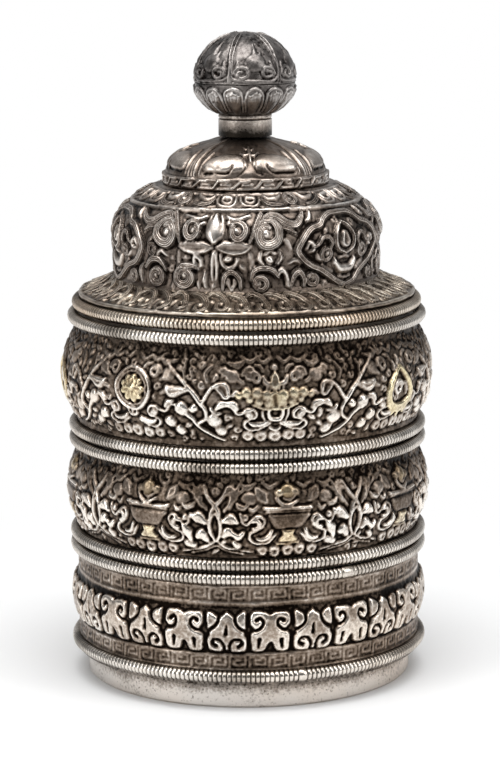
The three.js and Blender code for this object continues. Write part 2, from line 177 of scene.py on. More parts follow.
class Band:
    """The chased outside of one sheet, flattened. Its outside line is a list of (radius, height).

    Weight widens its strokes, depth raises them, and cavity darkens what lies low between them.
    """

    def __init__(self, outside, columns, radius=None, foot=None, weight=1.0, depth=1.0, cavity=1.0):
        self.outside = np.array(outside, float)
        self.weight = weight
        self.depth = depth
        self.cavity = cavity
        self.columns = columns
        self.rows = len(outside)
        steps = np.hypot(*np.diff(self.outside, axis=0).T)
        self.way = np.concatenate([[0], np.cumsum(steps)])
        self.foot = self.outside[0, 1] if foot is None else foot
        self.mm_per_degree = math.radians(radius or self.outside[:, 0].max())
        self.height = np.zeros((self.rows, columns))
        self.gilding = np.zeros((self.rows, columns))
        self.comb = np.zeros((self.rows, columns))
        # Spots kept dull; on a wall's upper part this is partly painted shade.
        self.dullness_and_shade = np.zeros((self.rows, columns))
        # Painted shade: rows darkened under the ring above.
        self.painted_shade = np.zeros(self.rows)

    def window(self, x, y, margin_x, margin_y=None):
        """The cells round some points, with their millimetres across and along the way."""
        margin_y = margin_x if margin_y is None else margin_y
        column_step = 360 * self.mm_per_degree / self.columns
        zero = 180 * self.mm_per_degree
        first = math.floor((np.min(x) - margin_x + zero) / column_step)
        last = math.ceil((np.max(x) + margin_x + zero) / column_step)
        columns = np.arange(first, last + 1)
        in_reach = (self.way >= np.min(y) - margin_y) & (self.way <= np.max(y) + margin_y)
        rows = np.nonzero(in_reach)[0]
        grid_x, grid_y = np.meshgrid(columns * column_step - zero, self.way[rows])
        return np.ix_(rows, columns % self.columns), grid_x, grid_y

    def place(self, points, drift=True):
        """Points of (turn, height over the foot) as millimetres across and along the way."""
        turn, rise = np.array(points, float).T
        across, up = hand_drift(turn, rise) if drift else (0, 0)
        x = turn * self.mm_per_degree + across
        return np.stack([x, np.interp(rise + up + self.foot, self.outside[:, 1], self.way)], 1)

    def stroke(self, points, widths, height, section=domed, gilt=0.0, cut=False, sharp=False):
        """Raises a line of (turn, height over the foot), or with cut lowers it."""
        line, half = smooth_line(self.place(points), widths, 1 if sharp else 4)
        if not sharp and not cut:
            half = half * self.weight
        cells, grid_x, grid_y = self.window(*line.T, half.max() + 0.1)
        nearest = np.full(grid_x.shape, FAR)
        for i, t, away in pieces_of(line, grid_x, grid_y):
            nearest = np.minimum(nearest, away / (half[i] + (half[i + 1] - half[i]) * t))
        raised = np.where(nearest < 1, height * section(np.minimum(nearest, 1)), 0)
        comb = 1 + nearest * round(half.max() / COMB_SPACING) if section is combed else 0 * nearest
        self.join(cells, raised, nearest < 1, gilt, cut, comb)

    def join(self, cells, raised, inside, gilt, cut, comb):
        if cut:
            self.height[cells] -= raised * self.depth
        else:
            on_top = inside & (raised * self.depth >= self.height[cells])
            self.comb[cells] = np.where(on_top, comb, self.comb[cells])
            self.height[cells] = np.maximum(self.height[cells], raised * self.depth)
        if gilt:
            self.gilding[cells] = np.where(inside, gilt, self.gilding[cells])

    def dot(self, turn, rise, radius, height, gilt=0.0):
        self.stroke([(turn, rise), (turn, rise)], radius, height, domed, gilt)

    def chase(self, strokes, turn=0.0, side=1):
        """Draws a table of strokes from a middle line, mirrored for side -1."""
        for points, *rest in strokes:
            self.stroke(at_turn(turn, points, side), *rest)


# %% [markdown]
# A shell starts as a few vertices: the closed outline of the sheet, cut through on one side. Spinning it
# round the axis gives the shell. It is spun in a few coarse steps whose strips are then cut finer, which
# gives the same grid as a fine spin, much sooner. Each vertex keeps the number of the outline point that
# it came from, so its row is known, and its column follows from its turn.


# %% Spinning a sheet
MOST_COARSE_STEPS = 40
FEWEST_COARSE_STEPS = 3
MERGE_DISTANCE = 0.002


def spun_mesh(name, outline, columns, closed=True):
    """An outline of (radius, height) in millimetres, spun round the axis. Open ones end on the axis."""
    choices = range(FEWEST_COARSE_STEPS, MOST_COARSE_STEPS + 1)
    coarse = max(steps for steps in choices if columns % steps == 0)
    mesh = bpy.data.meshes.new(name)
    build = bmesh.new()
    order = build.verts.layers.int.new("outline_point")
    corners = []
    for i, (radius, height) in enumerate(outline):
        corner = build.verts.new((0, radius * MM, height * MM))
        corner[order] = i
        corners.append(corner)
    pairs = zip(corners, corners[1:] + corners[:1]) if closed else zip(corners, corners[1:])
    edges = [build.edges.new(pair) for pair in pairs]
    bmesh.ops.spin(
        build,
        geom=corners + edges,
        cent=(0, 0, 0),
        axis=(0, 0, 1),
        angle=2 * math.pi,
        steps=coarse,
        use_merge=True,
    )
    bmesh.ops.remove_doubles(build, verts=build.verts, dist=MERGE_DISTANCE * MM)
    along = [edge for edge in build.edges if edge.verts[0][order] == edge.verts[1][order]]
    bmesh.ops.subdivide_edges(build, edges=along, cuts=columns // coarse - 1, use_grid_fill=True)
    bmesh.ops.recalc_face_normals(build, faces=build.faces)
    build.to_mesh(mesh)
    build.free()
    return mesh


# %% Finding and placing a shell's vertices
def rows_and_columns(mesh, columns):
    """The outline point and the column that each vertex belongs to."""
    coordinates = np.empty(len(mesh.vertices) * 3)
    mesh.vertices.foreach_get("co", coordinates)
    coordinates = coordinates.reshape(-1, 3)
    row = np.empty(len(mesh.vertices), int)
    mesh.attributes["outline_point"].data.foreach_get("value", row)
    turn = np.arctan2(coordinates[:, 0], -coordinates[:, 1])
    return row, np.rint((turn / (2 * math.pi) + 0.5) * columns).astype(int) % columns


def put_vertices(mesh, radius, turn, height):
    """Puts each vertex at a radius and height in millimetres and a turn in radians."""
    places = np.stack([radius * np.sin(turn), -radius * np.cos(turn), height], 1) * MM
    mesh.vertices.foreach_set("co", places.ravel())
    mesh.update()


# %% [markdown]
# Every visible piece is handed over in the same way. It rides on the body that it moves with, takes the
# place of a node of the imported model, which is hidden, and gets its material.


# %% Handing a finished piece over
BODIES = {"middle": "middle_tray", "upper": "upper_tray", "lid": "lid", "finial": "lid"}


def store(mesh, name, values):
    layer = mesh.attributes.new(name, "FLOAT", "POINT")
    layer.data.foreach_set("value", np.asarray(values, np.float32))


def placed(name, mesh, material, node):
    """Links a finished mesh, puts it on the body that it rides on, and hides the node that it replaces."""
    mesh.shade_smooth()
    piece = bpy.data.objects.new(name, mesh)
    bpy.context.scene.collection.objects.link(piece)
    mesh.materials.append(material)
    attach(piece, BODIES.get(node.split("_")[0], "base_box"))
    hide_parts(node)
    print(f"{name}: {len(mesh.polygons)} faces")


# %% [markdown]
# The chased heights move the outside's vertices along the direction that the sheet faces there. Four values
# are kept for the finish: how high a spot is, how far it stands over what is round it, which the years of
# rubbing make bright or leave dark and which also carries painted shade under a ring, where the gilding is,
# and where lines are combed.


# %% Pushing the relief out
STANDING_REACH = 5


def blurred(grid, times):
    """The grid with each cell shared with its neighbours, the turn's ends joined."""
    for _ in range(times):
        grid = 0.5 * grid + 0.25 * (np.roll(grid, 1, 1) + np.roll(grid, -1, 1))
        padded = np.vstack([grid[:1], grid, grid[-1:]])
        grid = 0.5 * grid + 0.25 * (padded[:-2] + padded[2:])
    return grid


def facing(outside):
    """The outward direction at each point of an outside line drawn upwards."""
    steps = np.gradient(outside, axis=0)
    directions = np.stack([steps[:, 1], -steps[:, 0]], 1)
    return directions / np.linalg.norm(directions, axis=1, keepdims=True)


def lining(band, first, last, count, thickness):
    """Points inside the outside line, from its first to its last row."""
    picked = np.linspace(first, last, count).astype(int)
    return (band.outside - facing(band.outside) * thickness)[picked]


def chased_piece(node, material, band, after, before=(), closed=True):
    """A spun sheet whose outside carries the band's relief: one row of the band to one outside point.

    The rest of its outline comes after and before the outside line.
    """
    outline = np.array([*before, *band.outside, *after])
    mesh = spun_mesh(f"{node}_chased", outline, band.columns, closed)
    row, column = rows_and_columns(mesh, band.columns)
    turn = (column / band.columns - 0.5) * 2 * math.pi
    band_row = row - len(before)
    outer = (band_row >= 0) & (band_row < band.rows)
    band_row = np.where(outer, band_row, 0)
    relief = np.where(outer, band.height[band_row, column], 0)
    push = facing(band.outside)[band_row] * relief[:, None]
    put_vertices(mesh, outline[row, 0] + push[:, 0], turn, outline[row, 1] + push[:, 1])
    # Dull spots show less of their relief; on a wall's upper part this is partly painted shade.
    rubbed = 1 - band.dullness_and_shade
    standing = band.height - blurred(band.height, STANDING_REACH)
    # Painted shade under the ring is taken off what stands out, so those rows render darker.
    standing = np.where(standing > 0, standing * rubbed, standing * band.cavity) - band.painted_shade[:, None]
    store(mesh, "relief", relief * rubbed[band_row, column])
    for name, values in (("standing", standing), ("gilding", band.gilding), ("comb", band.comb)):
        store(mesh, name, np.where(outer, values[band_row, column], 0))
    placed(f"{node}_chased", mesh, material, node)


# %% [markdown]
# The silver is one recipe with different amounts. Oxide settles where the chasing is deep and is rubbed
# off where it stands out, so the colour follows the stored values, broken up by noise at several sizes.
# The stored values also carry painted shade: under rings and beads, at the top and bottom of the wire, and on
# a wall's upper part.
# The shader stays a metal all over: the dark ground is a dark, rougher metal and the highs are bright.


# %% Short ways to write shader nodes
class Nodes:
    """A node tree, with short ways to add nodes and to feed their sockets."""

    def __init__(self, tree):
        self.tree = tree

    def feed(self, socket, value):
        """Links an output to a socket, or sets the socket to a number or a colour."""
        if isinstance(value, bpy.types.NodeSocket):
            self.tree.links.new(value, socket)
        else:
            socket.default_value = value

    def add(self, kind, inputs=(), **settings):
        node = self.tree.nodes.new(kind)
        for name, value in settings.items():
            setattr(node, name, value)
        for socket, value in dict(inputs).items():
            self.feed(node.inputs[socket], value)
        return node

    def math(self, operation, *values, clamp=False):
        node = self.add("ShaderNodeMath", enumerate(values), operation=operation, use_clamp=clamp)
        return node.outputs[0]

    def over(self, value, threshold, amount, clamp=False):
        """How far a value is over a threshold, times an amount."""
        return self.math("MULTIPLY", self.math("SUBTRACT", value, threshold), amount, clamp=clamp)

    def stored(self, name):
        """A value that the mesh keeps at each vertex."""
        return self.add("ShaderNodeAttribute", attribute_name=name).outputs["Fac"]

    def noise(self, scale, detail, roughness=0.55):
        """Noise from 0 to 1, with so many blots to a metre."""
        place = self.add("ShaderNodeTexCoord").outputs["Object"]
        inputs = {"Vector": place, "Scale": scale, "Detail": detail, "Roughness": roughness}
        return self.add("ShaderNodeTexNoise", inputs).outputs["Fac"]


def new_material(name):
    material = bpy.data.materials.new(name)
    material.use_nodes = True
    material.node_tree.nodes.clear()
    return material, Nodes(material.node_tree)


# %% Silver: how far each spot is rubbed bright
PATCHES = (110, 3)
GRAIN = (1400, 2)
BLOTCHES = (90, 7, 0.75)
SPECKS = (1300, 4)
RELIEF_SHARE = 0.45


def rubbed_bright(nodes, patches, speckle, low, high, stain, specks):
    """From 0 in black ground to 1 on a worn high, between two values of standing out."""
    # The standing and relief read here also carry painted shade, so that comes out darker too.
    relief = nodes.math("MULTIPLY", nodes.stored("relief"), RELIEF_SHARE)
    raised = nodes.math("ADD", nodes.stored("standing"), relief)
    height = nodes.math("DIVIDE", nodes.math("SUBTRACT", raised, low), high - low)
    uneven = nodes.over(patches, 0.5, 0.7)
    wear = nodes.math("ADD", height, nodes.math("ADD", uneven, speckle))
    blotch = nodes.over(nodes.noise(*BLOTCHES), 0.53, 7.0, clamp=True)
    wear = nodes.math("SUBTRACT", wear, nodes.math("MULTIPLY", blotch, stain))
    speck = nodes.over(nodes.noise(*SPECKS), 0.58, 8.0, clamp=True)
    return nodes.math("SUBTRACT", wear, nodes.math("MULTIPLY", speck, specks), clamp=True)


def comb_grooves(nodes):
    """0 on the ridges of combed metal and 2 in its grooves."""
    comb = nodes.stored("comb")
    ridges = nodes.math("COSINE", nodes.math("MULTIPLY", comb, 2 * math.pi))
    groove = nodes.math("SUBTRACT", 1.0, ridges)
    return nodes.math("MULTIPLY", groove, nodes.math("GREATER_THAN", comb, 0.5))


# %% Silver: colours and surface
PITS = (2600, 3, 0.6)
PIT_DEPTH = 0.12
COMB_DEPTH = 0.08
COMB_STRENGTH = 0.9


def shaded(nodes, amount, stops):
    """A colour that goes through the stops, each a position and a shade, as an amount goes from 0 to 1."""
    ramp = nodes.add("ShaderNodeValToRGB", {"Fac": amount})
    elements = ramp.color_ramp.elements
    for element, (position, shade) in zip(elements, (stops[0], stops[-1])):
        element.position = position
        element.color = (*shade, 1)
    for position, shade in stops[1:-1]:
        elements.new(position).color = (*shade, 1)
    return ramp.outputs["Color"]


def tinted(nodes, colour, amount, tint):
    inputs = {"Factor": amount, "A": colour, "B": (*tint, 1)}
    return nodes.add("ShaderNodeMix", inputs, data_type="RGBA", blend_type="MULTIPLY").outputs["Result"]


def surface_normal(nodes, patches, groove, pits):
    """Fine pits over broad dents, with the comb's grooves on top."""
    rough = nodes.math("ADD", nodes.noise(*PITS), nodes.math("MULTIPLY", patches, 1.5))
    pitted = nodes.add("ShaderNodeBump", {"Strength": pits, "Distance": PIT_DEPTH * MM, "Height": rough})
    inputs = {
        "Strength": COMB_STRENGTH,
        "Distance": COMB_DEPTH * MM,
        "Height": groove,
        "Normal": pitted.outputs["Normal"],
    }
    return nodes.add("ShaderNodeBump", inputs, invert=True).outputs["Normal"]


# %% Silver: the recipe
WARM_DRIFT = (32, 2)
WARM = (1.0, 0.88, 0.77)
GILT = (0.97, 0.88, 0.58)
GROOVE_DARK = 0.24


def silver(
    name,
    low,
    high,
    stops,
    rough_ground,
    rough_worn,
    gilt=False,
    pits=0.3,
    mottle=0.5,
    stain=0.0,
    warmth=0.5,
    specks=0.0,
):
    """Silver that goes through its colours between two values of standing out.

    Stops are its colours from ground to highs. The amounts after the two roughnesses are how strong its
    pits, its fine mottling, its dark stains, its warm patches and its specks are.
    """
    material, nodes = new_material(name)
    patches = nodes.noise(*PATCHES)
    speckle = nodes.over(nodes.noise(*GRAIN), 0.5, mottle)
    groove = comb_grooves(nodes)
    # This brightness follows real wear and oxide, and also the painted shade stored on the mesh.
    wear = rubbed_bright(nodes, patches, speckle, low, high, stain, specks)
    wear = nodes.math("SUBTRACT", wear, nodes.math("MULTIPLY", groove, GROOVE_DARK), clamp=True)

    drift = nodes.over(nodes.noise(*WARM_DRIFT), 0.38, 3.2, clamp=True)
    colour = tinted(nodes, shaded(nodes, wear, stops), nodes.math("MULTIPLY", drift, warmth), WARM)
    if gilt:
        uneven = nodes.math("MULTIPLY", patches, 1.5)
        rubbed = nodes.math("MULTIPLY", nodes.stored("gilding"), uneven, clamp=True)
        colour = tinted(nodes, colour, rubbed, GILT)

    gloss = nodes.math("MULTIPLY", wear, rough_worn - rough_ground)
    rough = nodes.math("ADD", rough_ground, nodes.math("MULTIPLY", speckle, 0.25))
    inputs = {
        "Base Color": colour,
        "Metallic": 1.0,
        "Roughness": nodes.math("ADD", gloss, rough),
        "Normal": surface_normal(nodes, patches, groove, pits),
    }
    shader = nodes.add("ShaderNodeBsdfPrincipled", inputs)
    nodes.add("ShaderNodeOutputMaterial", {"Surface": shader.outputs["BSDF"]})
    print(f"{name}: {len(nodes.tree.nodes)} shader nodes")
    return material


# %% [markdown]
# The rings are milled wire: a round wire rolled between ribbed rolls and then bent into a ring. Each rib
# is five columns of the spun wire, pinched in where the groove is. Where the ends of the wire meet, solder
# has filled the grooves and left a small swelling. The wire is bright on its ribs and black between them,
# a little browner on the lid, and the bead under the finial has the smoked silver of its collar.

# %% Silver of the rings
wire_silver = silver(
    "milled wire silver",
    low=-0.2,
    high=0.02,
    stops=[(0.04, (0.03, 0.023, 0.017)), (0.5, (0.36, 0.32, 0.275)), (0.95, (0.87, 0.82, 0.755))],
    rough_ground=0.4,
    rough_worn=0.18,
    stain=0.12,
    warmth=0.35,
)
lid_wire_silver = silver(
    "browned wire silver",
    low=-0.2,
    high=0.02,
    stops=[(0.04, (0.03, 0.021, 0.013)), (0.5, (0.36, 0.30, 0.235)), (0.95, (0.86, 0.78, 0.68))],
    rough_ground=0.4,
    rough_worn=0.2,
    stain=0.12,
    warmth=0.8,
)
collar_silver = silver(
    "collar silver",
    low=-0.5,
    high=0.35,
    stops=[(0.05, (0.02, 0.017, 0.014)), (0.5, (0.27, 0.24, 0.215)), (0.85, (0.7, 0.65, 0.6))],
    rough_ground=0.42,
    rough_worn=0.26,
    pits=0.8,
    stain=0.22,
    specks=0.2,
)

# %% Milled wire rings
RIB_COLUMNS = 5
WIRE_SIDES = 14
RIB_GROOVE = 0.22
CREVICE_SHADE = 0.11
SOLDER_SWELL = 0.16
TARNISH = 0.035

# Where the wire's ends are soldered: the turn of the joint and how far it reaches, in degrees.
SOLDERED = {
    "base_upper_ring": (33.0, 2.6),
    "base_lower_ring": (17.0, 1.4),
    "lid_ring": (150.0, 2.0),
    "upper_upper_ring": (-160.0, 2.0),
}
BACK_JOINT = (180.0, 1.5)


def milled_ring(node, ribs, depth, material):
    radii, heights = node_points(node)
    wire = (heights.max() - heights.min()) / 2
    centre_radius = radii.max() - wire
    centre_height = (heights.max() + heights.min()) / 2
    angles = np.arange(WIRE_SIDES) / WIRE_SIDES * 2 * math.pi
    outline = np.stack([centre_radius + wire * np.cos(angles), centre_height + wire * np.sin(angles)], 1)
    columns = ribs * RIB_COLUMNS
    mesh = spun_mesh(f"{node}_milled", outline, columns)
    row, column = rows_and_columns(mesh, columns)
    angle = angles[row]
    turn = (column / columns - 0.5) * 2 * math.pi
    wear = 0.8 + 0.2 * np.sin(turn * 7) * np.sin(turn * 3 + 1)
    phase = column / RIB_COLUMNS % 1
    sunk = depth * wear * np.clip(1 - np.abs(phase - 0.4) / RIB_GROOVE, 0, 1)
    joint, reach = SOLDERED.get(node, BACK_JOINT)
    from_joint = np.abs((np.degrees(turn) - joint + 180) % 360 - 180) / reach
    sunk = sunk * np.clip(from_joint * 2 - 1, 0, 1) - SOLDER_SWELL * np.clip(1 - from_joint**2, 0, 1)
    left = wire - sunk
    put_vertices(mesh, centre_radius + left * np.cos(angle), turn, centre_height + left * np.sin(angle))
    tarnish = TARNISH * (np.sin(turn * 5 + heights.min()) + np.sin(turn * 11 + 2 * heights.min()))
    # Painted shade: the top and bottom of the wire, where it meets the next ring or the wall, are stored
    # darker.
    crevice_shade = CREVICE_SHADE * np.clip((np.abs(np.sin(angle)) - 0.6) / 0.4, 0, 1)
    store(mesh, "standing", -np.clip(sunk, 0, None) - np.clip(tarnish, 0, None) - crevice_shade)
    placed(f"{node}_milled", mesh, material, node)


# %% The rings of the tiers, and the bead
TIER_RIBS = 240
TIER_RIB_DEPTH = 0.24
BEAD_RIBS = 40
BEAD_RIB_DEPTH = 0.06

for tier in ("base", "middle", "upper"):
    for place in ("lower", "upper"):
        milled_ring(f"{tier}_{place}_ring", TIER_RIBS, TIER_RIB_DEPTH, wire_silver)
milled_ring("lid_ring", TIER_RIBS, TIER_RIB_DEPTH, lid_wire_silver)
milled_ring("finial_bead", BEAD_RIBS, BEAD_RIB_DEPTH, collar_silver)

# %% [markdown]
# The plain pieces are turned or rolled sheet: the foot, the floors, and the sleeves that stand up as
# spigots. Their half sections are read from the model and spun finely, so that their edges stay round.
# Their satin silver has fine pits and specks, and painted shade darkens the corner under a ring or a bead.

# %% Silver of the plain pieces
plain_silver = silver(
    "plain silver",
    low=-0.5,
    high=0.1,
    stops=[(0.05, (0.03, 0.024, 0.019)), (0.45, (0.33, 0.29, 0.255)), (0.8, (0.7, 0.655, 0.61))],
    rough_ground=0.45,
    rough_worn=0.3,
    pits=0.7,
    mottle=0.9,
    stain=0.12,
    specks=0.45,
)


# %% Half sections of the plain pieces
ON_AXIS = 0.01
IN_PLANE_DEGREES = 0.3


def half_section(node):
    """The outline of a turned node, walked along the edges that lie in one plane through the axis."""
    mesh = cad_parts[node].data
    points = np.array([vertex.co for vertex in mesh.vertices]) / MM
    radius = np.hypot(points[:, 0], points[:, 1])
    turn = np.degrees(np.arctan2(points[:, 1], points[:, 0]))
    plane = turn[radius.argmax()]
    inside = (np.abs(turn - plane) < IN_PLANE_DEGREES) | (radius < ON_AXIS)
    spot = {i: (round(float(radius[i]), 2), round(float(points[i, 2]), 2)) for i in np.nonzero(inside)[0]}
    neighbours = {}
    for edge in mesh.edges:
        a, b = (spot.get(i) for i in edge.vertices)
        if a and b and a != b:
            neighbours.setdefault(a, set()).add(b)
            neighbours.setdefault(b, set()).add(a)
    ends = sorted(point for point, others in neighbours.items() if len(others) == 1)
    loop = [ends[0] if ends else min(neighbours)]
    while True:
        onward = [point for point in sorted(neighbours[loop[-1]]) if point not in loop]
        if not onward:
            return loop, not ends
        loop.append(onward[0])


PLAIN_STEP = 0.6


def divided(outline, closed):
    """The outline with points added on its long straight runs, so that painted shade can fade along them."""
    points = []
    for (r0, z0), (r1, z1) in zip(outline, outline[1:] + outline[:1]):
        count = max(1, round(math.hypot(r1 - r0, z1 - z0) / PLAIN_STEP))
        points += [(r0 + (r1 - r0) * i / count, z0 + (z1 - z0) * i / count) for i in range(count)]
    return points if closed else points[:len(points) - count + 1]


# %% Plain pieces
PLAIN_COLUMNS = 240
PLAIN_STANDING = 0.05
SHARP_EDGE_DEGREES = 35

# Painted shade in the corner under a ring or bead: the height of the corner, how far it spreads, and how dark
# it is.
SHADED_CORNERS = {"foot_band": (7.2, 2.6, 0.42), "finial_collar": (150.7, 2.4, 0.6)}
NO_CORNER_SHADE = (0.0, 1.0, 0.0)


def plain_piece(node, material=plain_silver):
    outline, closed = half_section(node)
    if node in SHADED_CORNERS:
        outline = divided(outline, closed)
    mesh = spun_mesh(f"{node}_plain", outline, PLAIN_COLUMNS, closed)
    row, column = rows_and_columns(mesh, PLAIN_COLUMNS)
    radius, height = np.array(outline)[row].T
    put_vertices(mesh, radius, (column / PLAIN_COLUMNS - 0.5) * 2 * math.pi, height)
    # Painted shade: the corner under a ring or bead is stored darker.
    corner, spread, depth = SHADED_CORNERS.get(node, NO_CORNER_SHADE)
    painted_shade = depth * np.exp(-(((height - corner) / spread) ** 2))
    store(mesh, "standing", PLAIN_STANDING - painted_shade)
    placed(f"{node}_plain", mesh, material, node)
    mesh.set_sharp_from_angle(angle=math.radians(SHARP_EDGE_DEGREES))


for node in ("foot_band", "bottom_plate", "base_liner"):
    plain_piece(node)
for tier in ("middle", "upper"):
    for kind in ("floor", "liner"):
        plain_piece(f"{tier}_{kind}")
plain_piece("lid_socket")
plain_piece("finial_collar", collar_silver)

# %% [markdown]
# The walls are sheet, chased flat and then bent round. Each one is a closed shell: a fine outside line,
# one point for each row of its band, and an inside line of a few points, because it stands behind a liner.
# Their silver is black in the ground and nearly white on the highs, with traces of gilding.

# %% Silver of the walls
BLACK = (0.006, 0.004, 0.003)

chased_silver = silver(
    "chased silver",
    low=-0.3,
    high=0.6,
    stops=[
        (0.05, BLACK),
        (0.32, (0.128, 0.096, 0.072)),
        (0.58, (0.36, 0.3, 0.25)),
        (0.9, (0.97, 0.92, 0.85)),
    ],
    rough_ground=0.48,
    rough_worn=0.2,
    gilt=True,
    stain=0.12,
)

# %% Wall bands
CELL = 0.31
SHEET = 0.7
WALL_COLUMNS = 1040
CAVITY = 1.5


def wall_band(node, swell, swell_from, swell_to, weight=1.0, depth=1.0):
    """A wall that is upright except between two heights, where it swells out."""
    radii, heights = node_points(node)
    low, high = heights.min(), heights.max()
    upright = radii[heights > high - 0.01].max()
    rise = np.linspace(low, high, round((high - low) / CELL) + 1)
    t = np.clip((rise - swell_from) / (swell_to - swell_from), 0, 1)
    outside = np.stack([upright + swell * 4 * t * (1 - t), rise], 1)
    print(f"{node}: {len(rise)} rows of {WALL_COLUMNS} cells")
    return Band(outside, WALL_COLUMNS, weight=weight, depth=depth, cavity=CAVITY)


def wall_piece(node, band):
    chased_piece(node, chased_silver, band, lining(band, band.rows - 1, 0, 6, SHEET))


# %% [markdown]
# No ground is left bare: chasers fill it with small curls, leaves and buds. Then the ground is set down
# beside each form, which deepens its shadow, and the sheet keeps a little of the hammer's unevenness.


# %% Curls, and small work in bare ground
def ring_points(band, turn, rise, wide, high, start=0.0, end=360.0, shrink=1.0, steps=18):
    """Points on an ellipse, or with shrink on a spiral that ends at that share of its size."""
    angles = np.radians(np.linspace(start, end, steps))
    size = np.linspace(1, shrink, steps)
    return [
        (turn + wide * s * math.cos(a) / band.mm_per_degree, rise + high * s * math.sin(a))
        for a, s in zip(angles, size)
    ]


def curl(band, turn, rise, radius, start, turns, width, height, gilt=0.0):
    """A spiral from its outer end inwards."""
    points = ring_points(band, turn, rise, radius, radius, start, start + 360 * turns, 0.3, 20)
    band.stroke(points, [width, width, width * 0.7], height, domed, gilt)


def fill_ground(band, low, high, step, seed):
    """Puts small curls, leaves and buds between two heights, where the ground has been left bare."""
    picks = np.random.default_rng(seed)
    for rise in np.arange(low, high, step):
        for turn in np.arange(-180, 180, step / band.mm_per_degree):
            turn_here = turn + picks.uniform(-0.4, 0.4) * step / band.mm_per_degree
            rise_here = rise + picks.uniform(-0.4, 0.4) * step
            kind, lean = picks.uniform(0, 1), picks.uniform(0, 360)
            x, y = band.place([(turn_here, rise_here)], False)[0]
            cells, _, _ = band.window(x, y, 0.9)
            if band.height[cells].max() > 0.1:
                continue
            if kind < 0.6:
                curl(band, turn_here, rise_here, 0.95, lean, 0.9 if kind < 0.3 else -0.9, 0.26, 0.42)
            elif kind < 0.85:
                away = math.cos(math.radians(lean)) / band.mm_per_degree
                up = math.sin(math.radians(lean))
                leaf = [(turn_here + share * away, rise_here + share * up) for share in (-1, 0, 1)]
                band.stroke(leaf, [0.2, 0.6, 0.2], 0.45, veined)
            else:
                band.dot(turn_here, rise_here, 0.5, 0.42)


# %% Setting down, hammering, wear and painted shade
UPPER_DULLNESS_AND_SHADE = 0.66
PAINTED_RING_SHADE = 0.15
PAINTED_RING_SHADE_REACH = 3.4


def set_down(band, amount, spread):
    """Softens the strokes' edges, and sinks the ground right beside each form."""
    band.height = blurred(band.height, 1)
    band.height -= amount * np.clip(blurred(band.height, spread) - band.height, 0, None)


def hammer(band, amount, spread, seed):
    """Lets the whole sheet wander a little, as hammered sheet does."""
    rough = np.random.default_rng(seed).normal(size=band.height.shape)
    rough = blurred(rough, spread)
    band.height += amount * rough / rough.std()


def finish_wall(band, low, high, dull_and_shaded_from, seed):
    """Fills the bare ground, sets it down and beats the sheet.

    Hands rub the widest part of a swelling bright. Its upper part is painted duller, partly as less rubbing
    and partly as painted shade, and painted shade darkens the rows under the ring.
    """
    fill_ground(band, low, high, 1.5, seed)
    set_down(band, 1.2, 6)
    hammer(band, 0.035, 3, seed)
    # Painted duller towards the top: partly less rubbing, partly painted shade for the darker surroundings
    # there.
    above = np.clip((band.outside[:, 1] - band.foot - dull_and_shaded_from) / (high - dull_and_shaded_from), 0, 1)
    band.dullness_and_shade = np.maximum(band.dullness_and_shade, (UPPER_DULLNESS_AND_SHADE * above * above * (3 - 2 * above))[:, None])
    # Painted shade: the rows just under the ring above are darkened.
    from_ring = band.outside[-1, 1] - band.outside[:, 1]
    band.painted_shade = PAINTED_RING_SHADE * np.exp(-((from_ring / PAINTED_RING_SHADE_REACH) ** 2))


# %% [markdown]
# The upper tray's wall has eight panels. Each has an emblem on its middle line, a cloud ribbon that winds
# out from under it on both sides, and at the panel's edge a plant that leans one way and then the other.
# Strokes are (points, half widths, height, section, gilding): turns away from the panel's middle or edge
# in degrees, and heights over the wall's foot in millimetres. Both sides use the same table, mirrored.

# %% Upper tray: ribbons and clouds
PANELS = 8
PANEL = 360 / PANELS

UPPER_RIBBON = [
    ([(2.4, 7.7), (4.0, 6.8), (6.4, 6.6), (7.9, 7.2)], [0.3, 0.65, 0.7, 0.3], 0.68),
    ([(1.9, 6.9), (4.4, 5.6), (7.2, 5.2), (9.1, 6.0), (9.4, 7.2), (7.9, 8.1), (6.1, 8.5), (5.5, 9.7)],
     0.28, 0.62),
    ([(5.5, 9.7), (6.6, 10.9), (8.5, 10.8), (9.7, 9.9),
      (11.4, 9.7), (12.4, 10.9), (13.2, 11.7), (15.0, 12.1)],
     0.28, 0.62),
    ([(7.5, 9.2), (7.9, 9.5)], 0.95, 0.68),
    ([(11.4, 11.0), (12.3, 12.4), (14.4, 12.9)], [0.35, 0.65, 0.3], 0.62),
]
UPPER_CLOUD = [
    ([(1.2, 24.5), (3.2, 23.2), (5.4, 24.2)], 0.4, 0.36),
    ([(5.4, 24.2), (7.8, 23.2), (10.2, 24.5)], [0.4, 0.6, 0.3], 0.36, veined),
    ([(9.3, 23.4), (11.5, 22.5), (14.2, 23.2)], [0.3, 0.9, 0.3], 0.42, veined),
    ([(12.4, 19.9), (12.8, 19.9)], 1.45, 0.46),
    ([(9.6, 18.0), (10.8, 18.9), (10.9, 20.2)], [0.25, 0.5, 0.25], 0.4),
    ([(3.4, 20.9), (4.3, 22.1), (6.1, 22.4)], [0.2, 0.45, 0.2], 0.38),
    ([(15.4, 21.5), (16.2, 21.2)], 0.8, 0.4),
    ([(9.8, 14.7), (11.6, 15.2), (13.2, 14.8)], [0.3, 0.7, 0.3], 0.4, veined),
    ([(13.5, 6.7), (14.4, 6.1)], 0.5, 0.4),
]
print("strokes on each side of a panel:", len(UPPER_RIBBON) + len(UPPER_CLOUD))

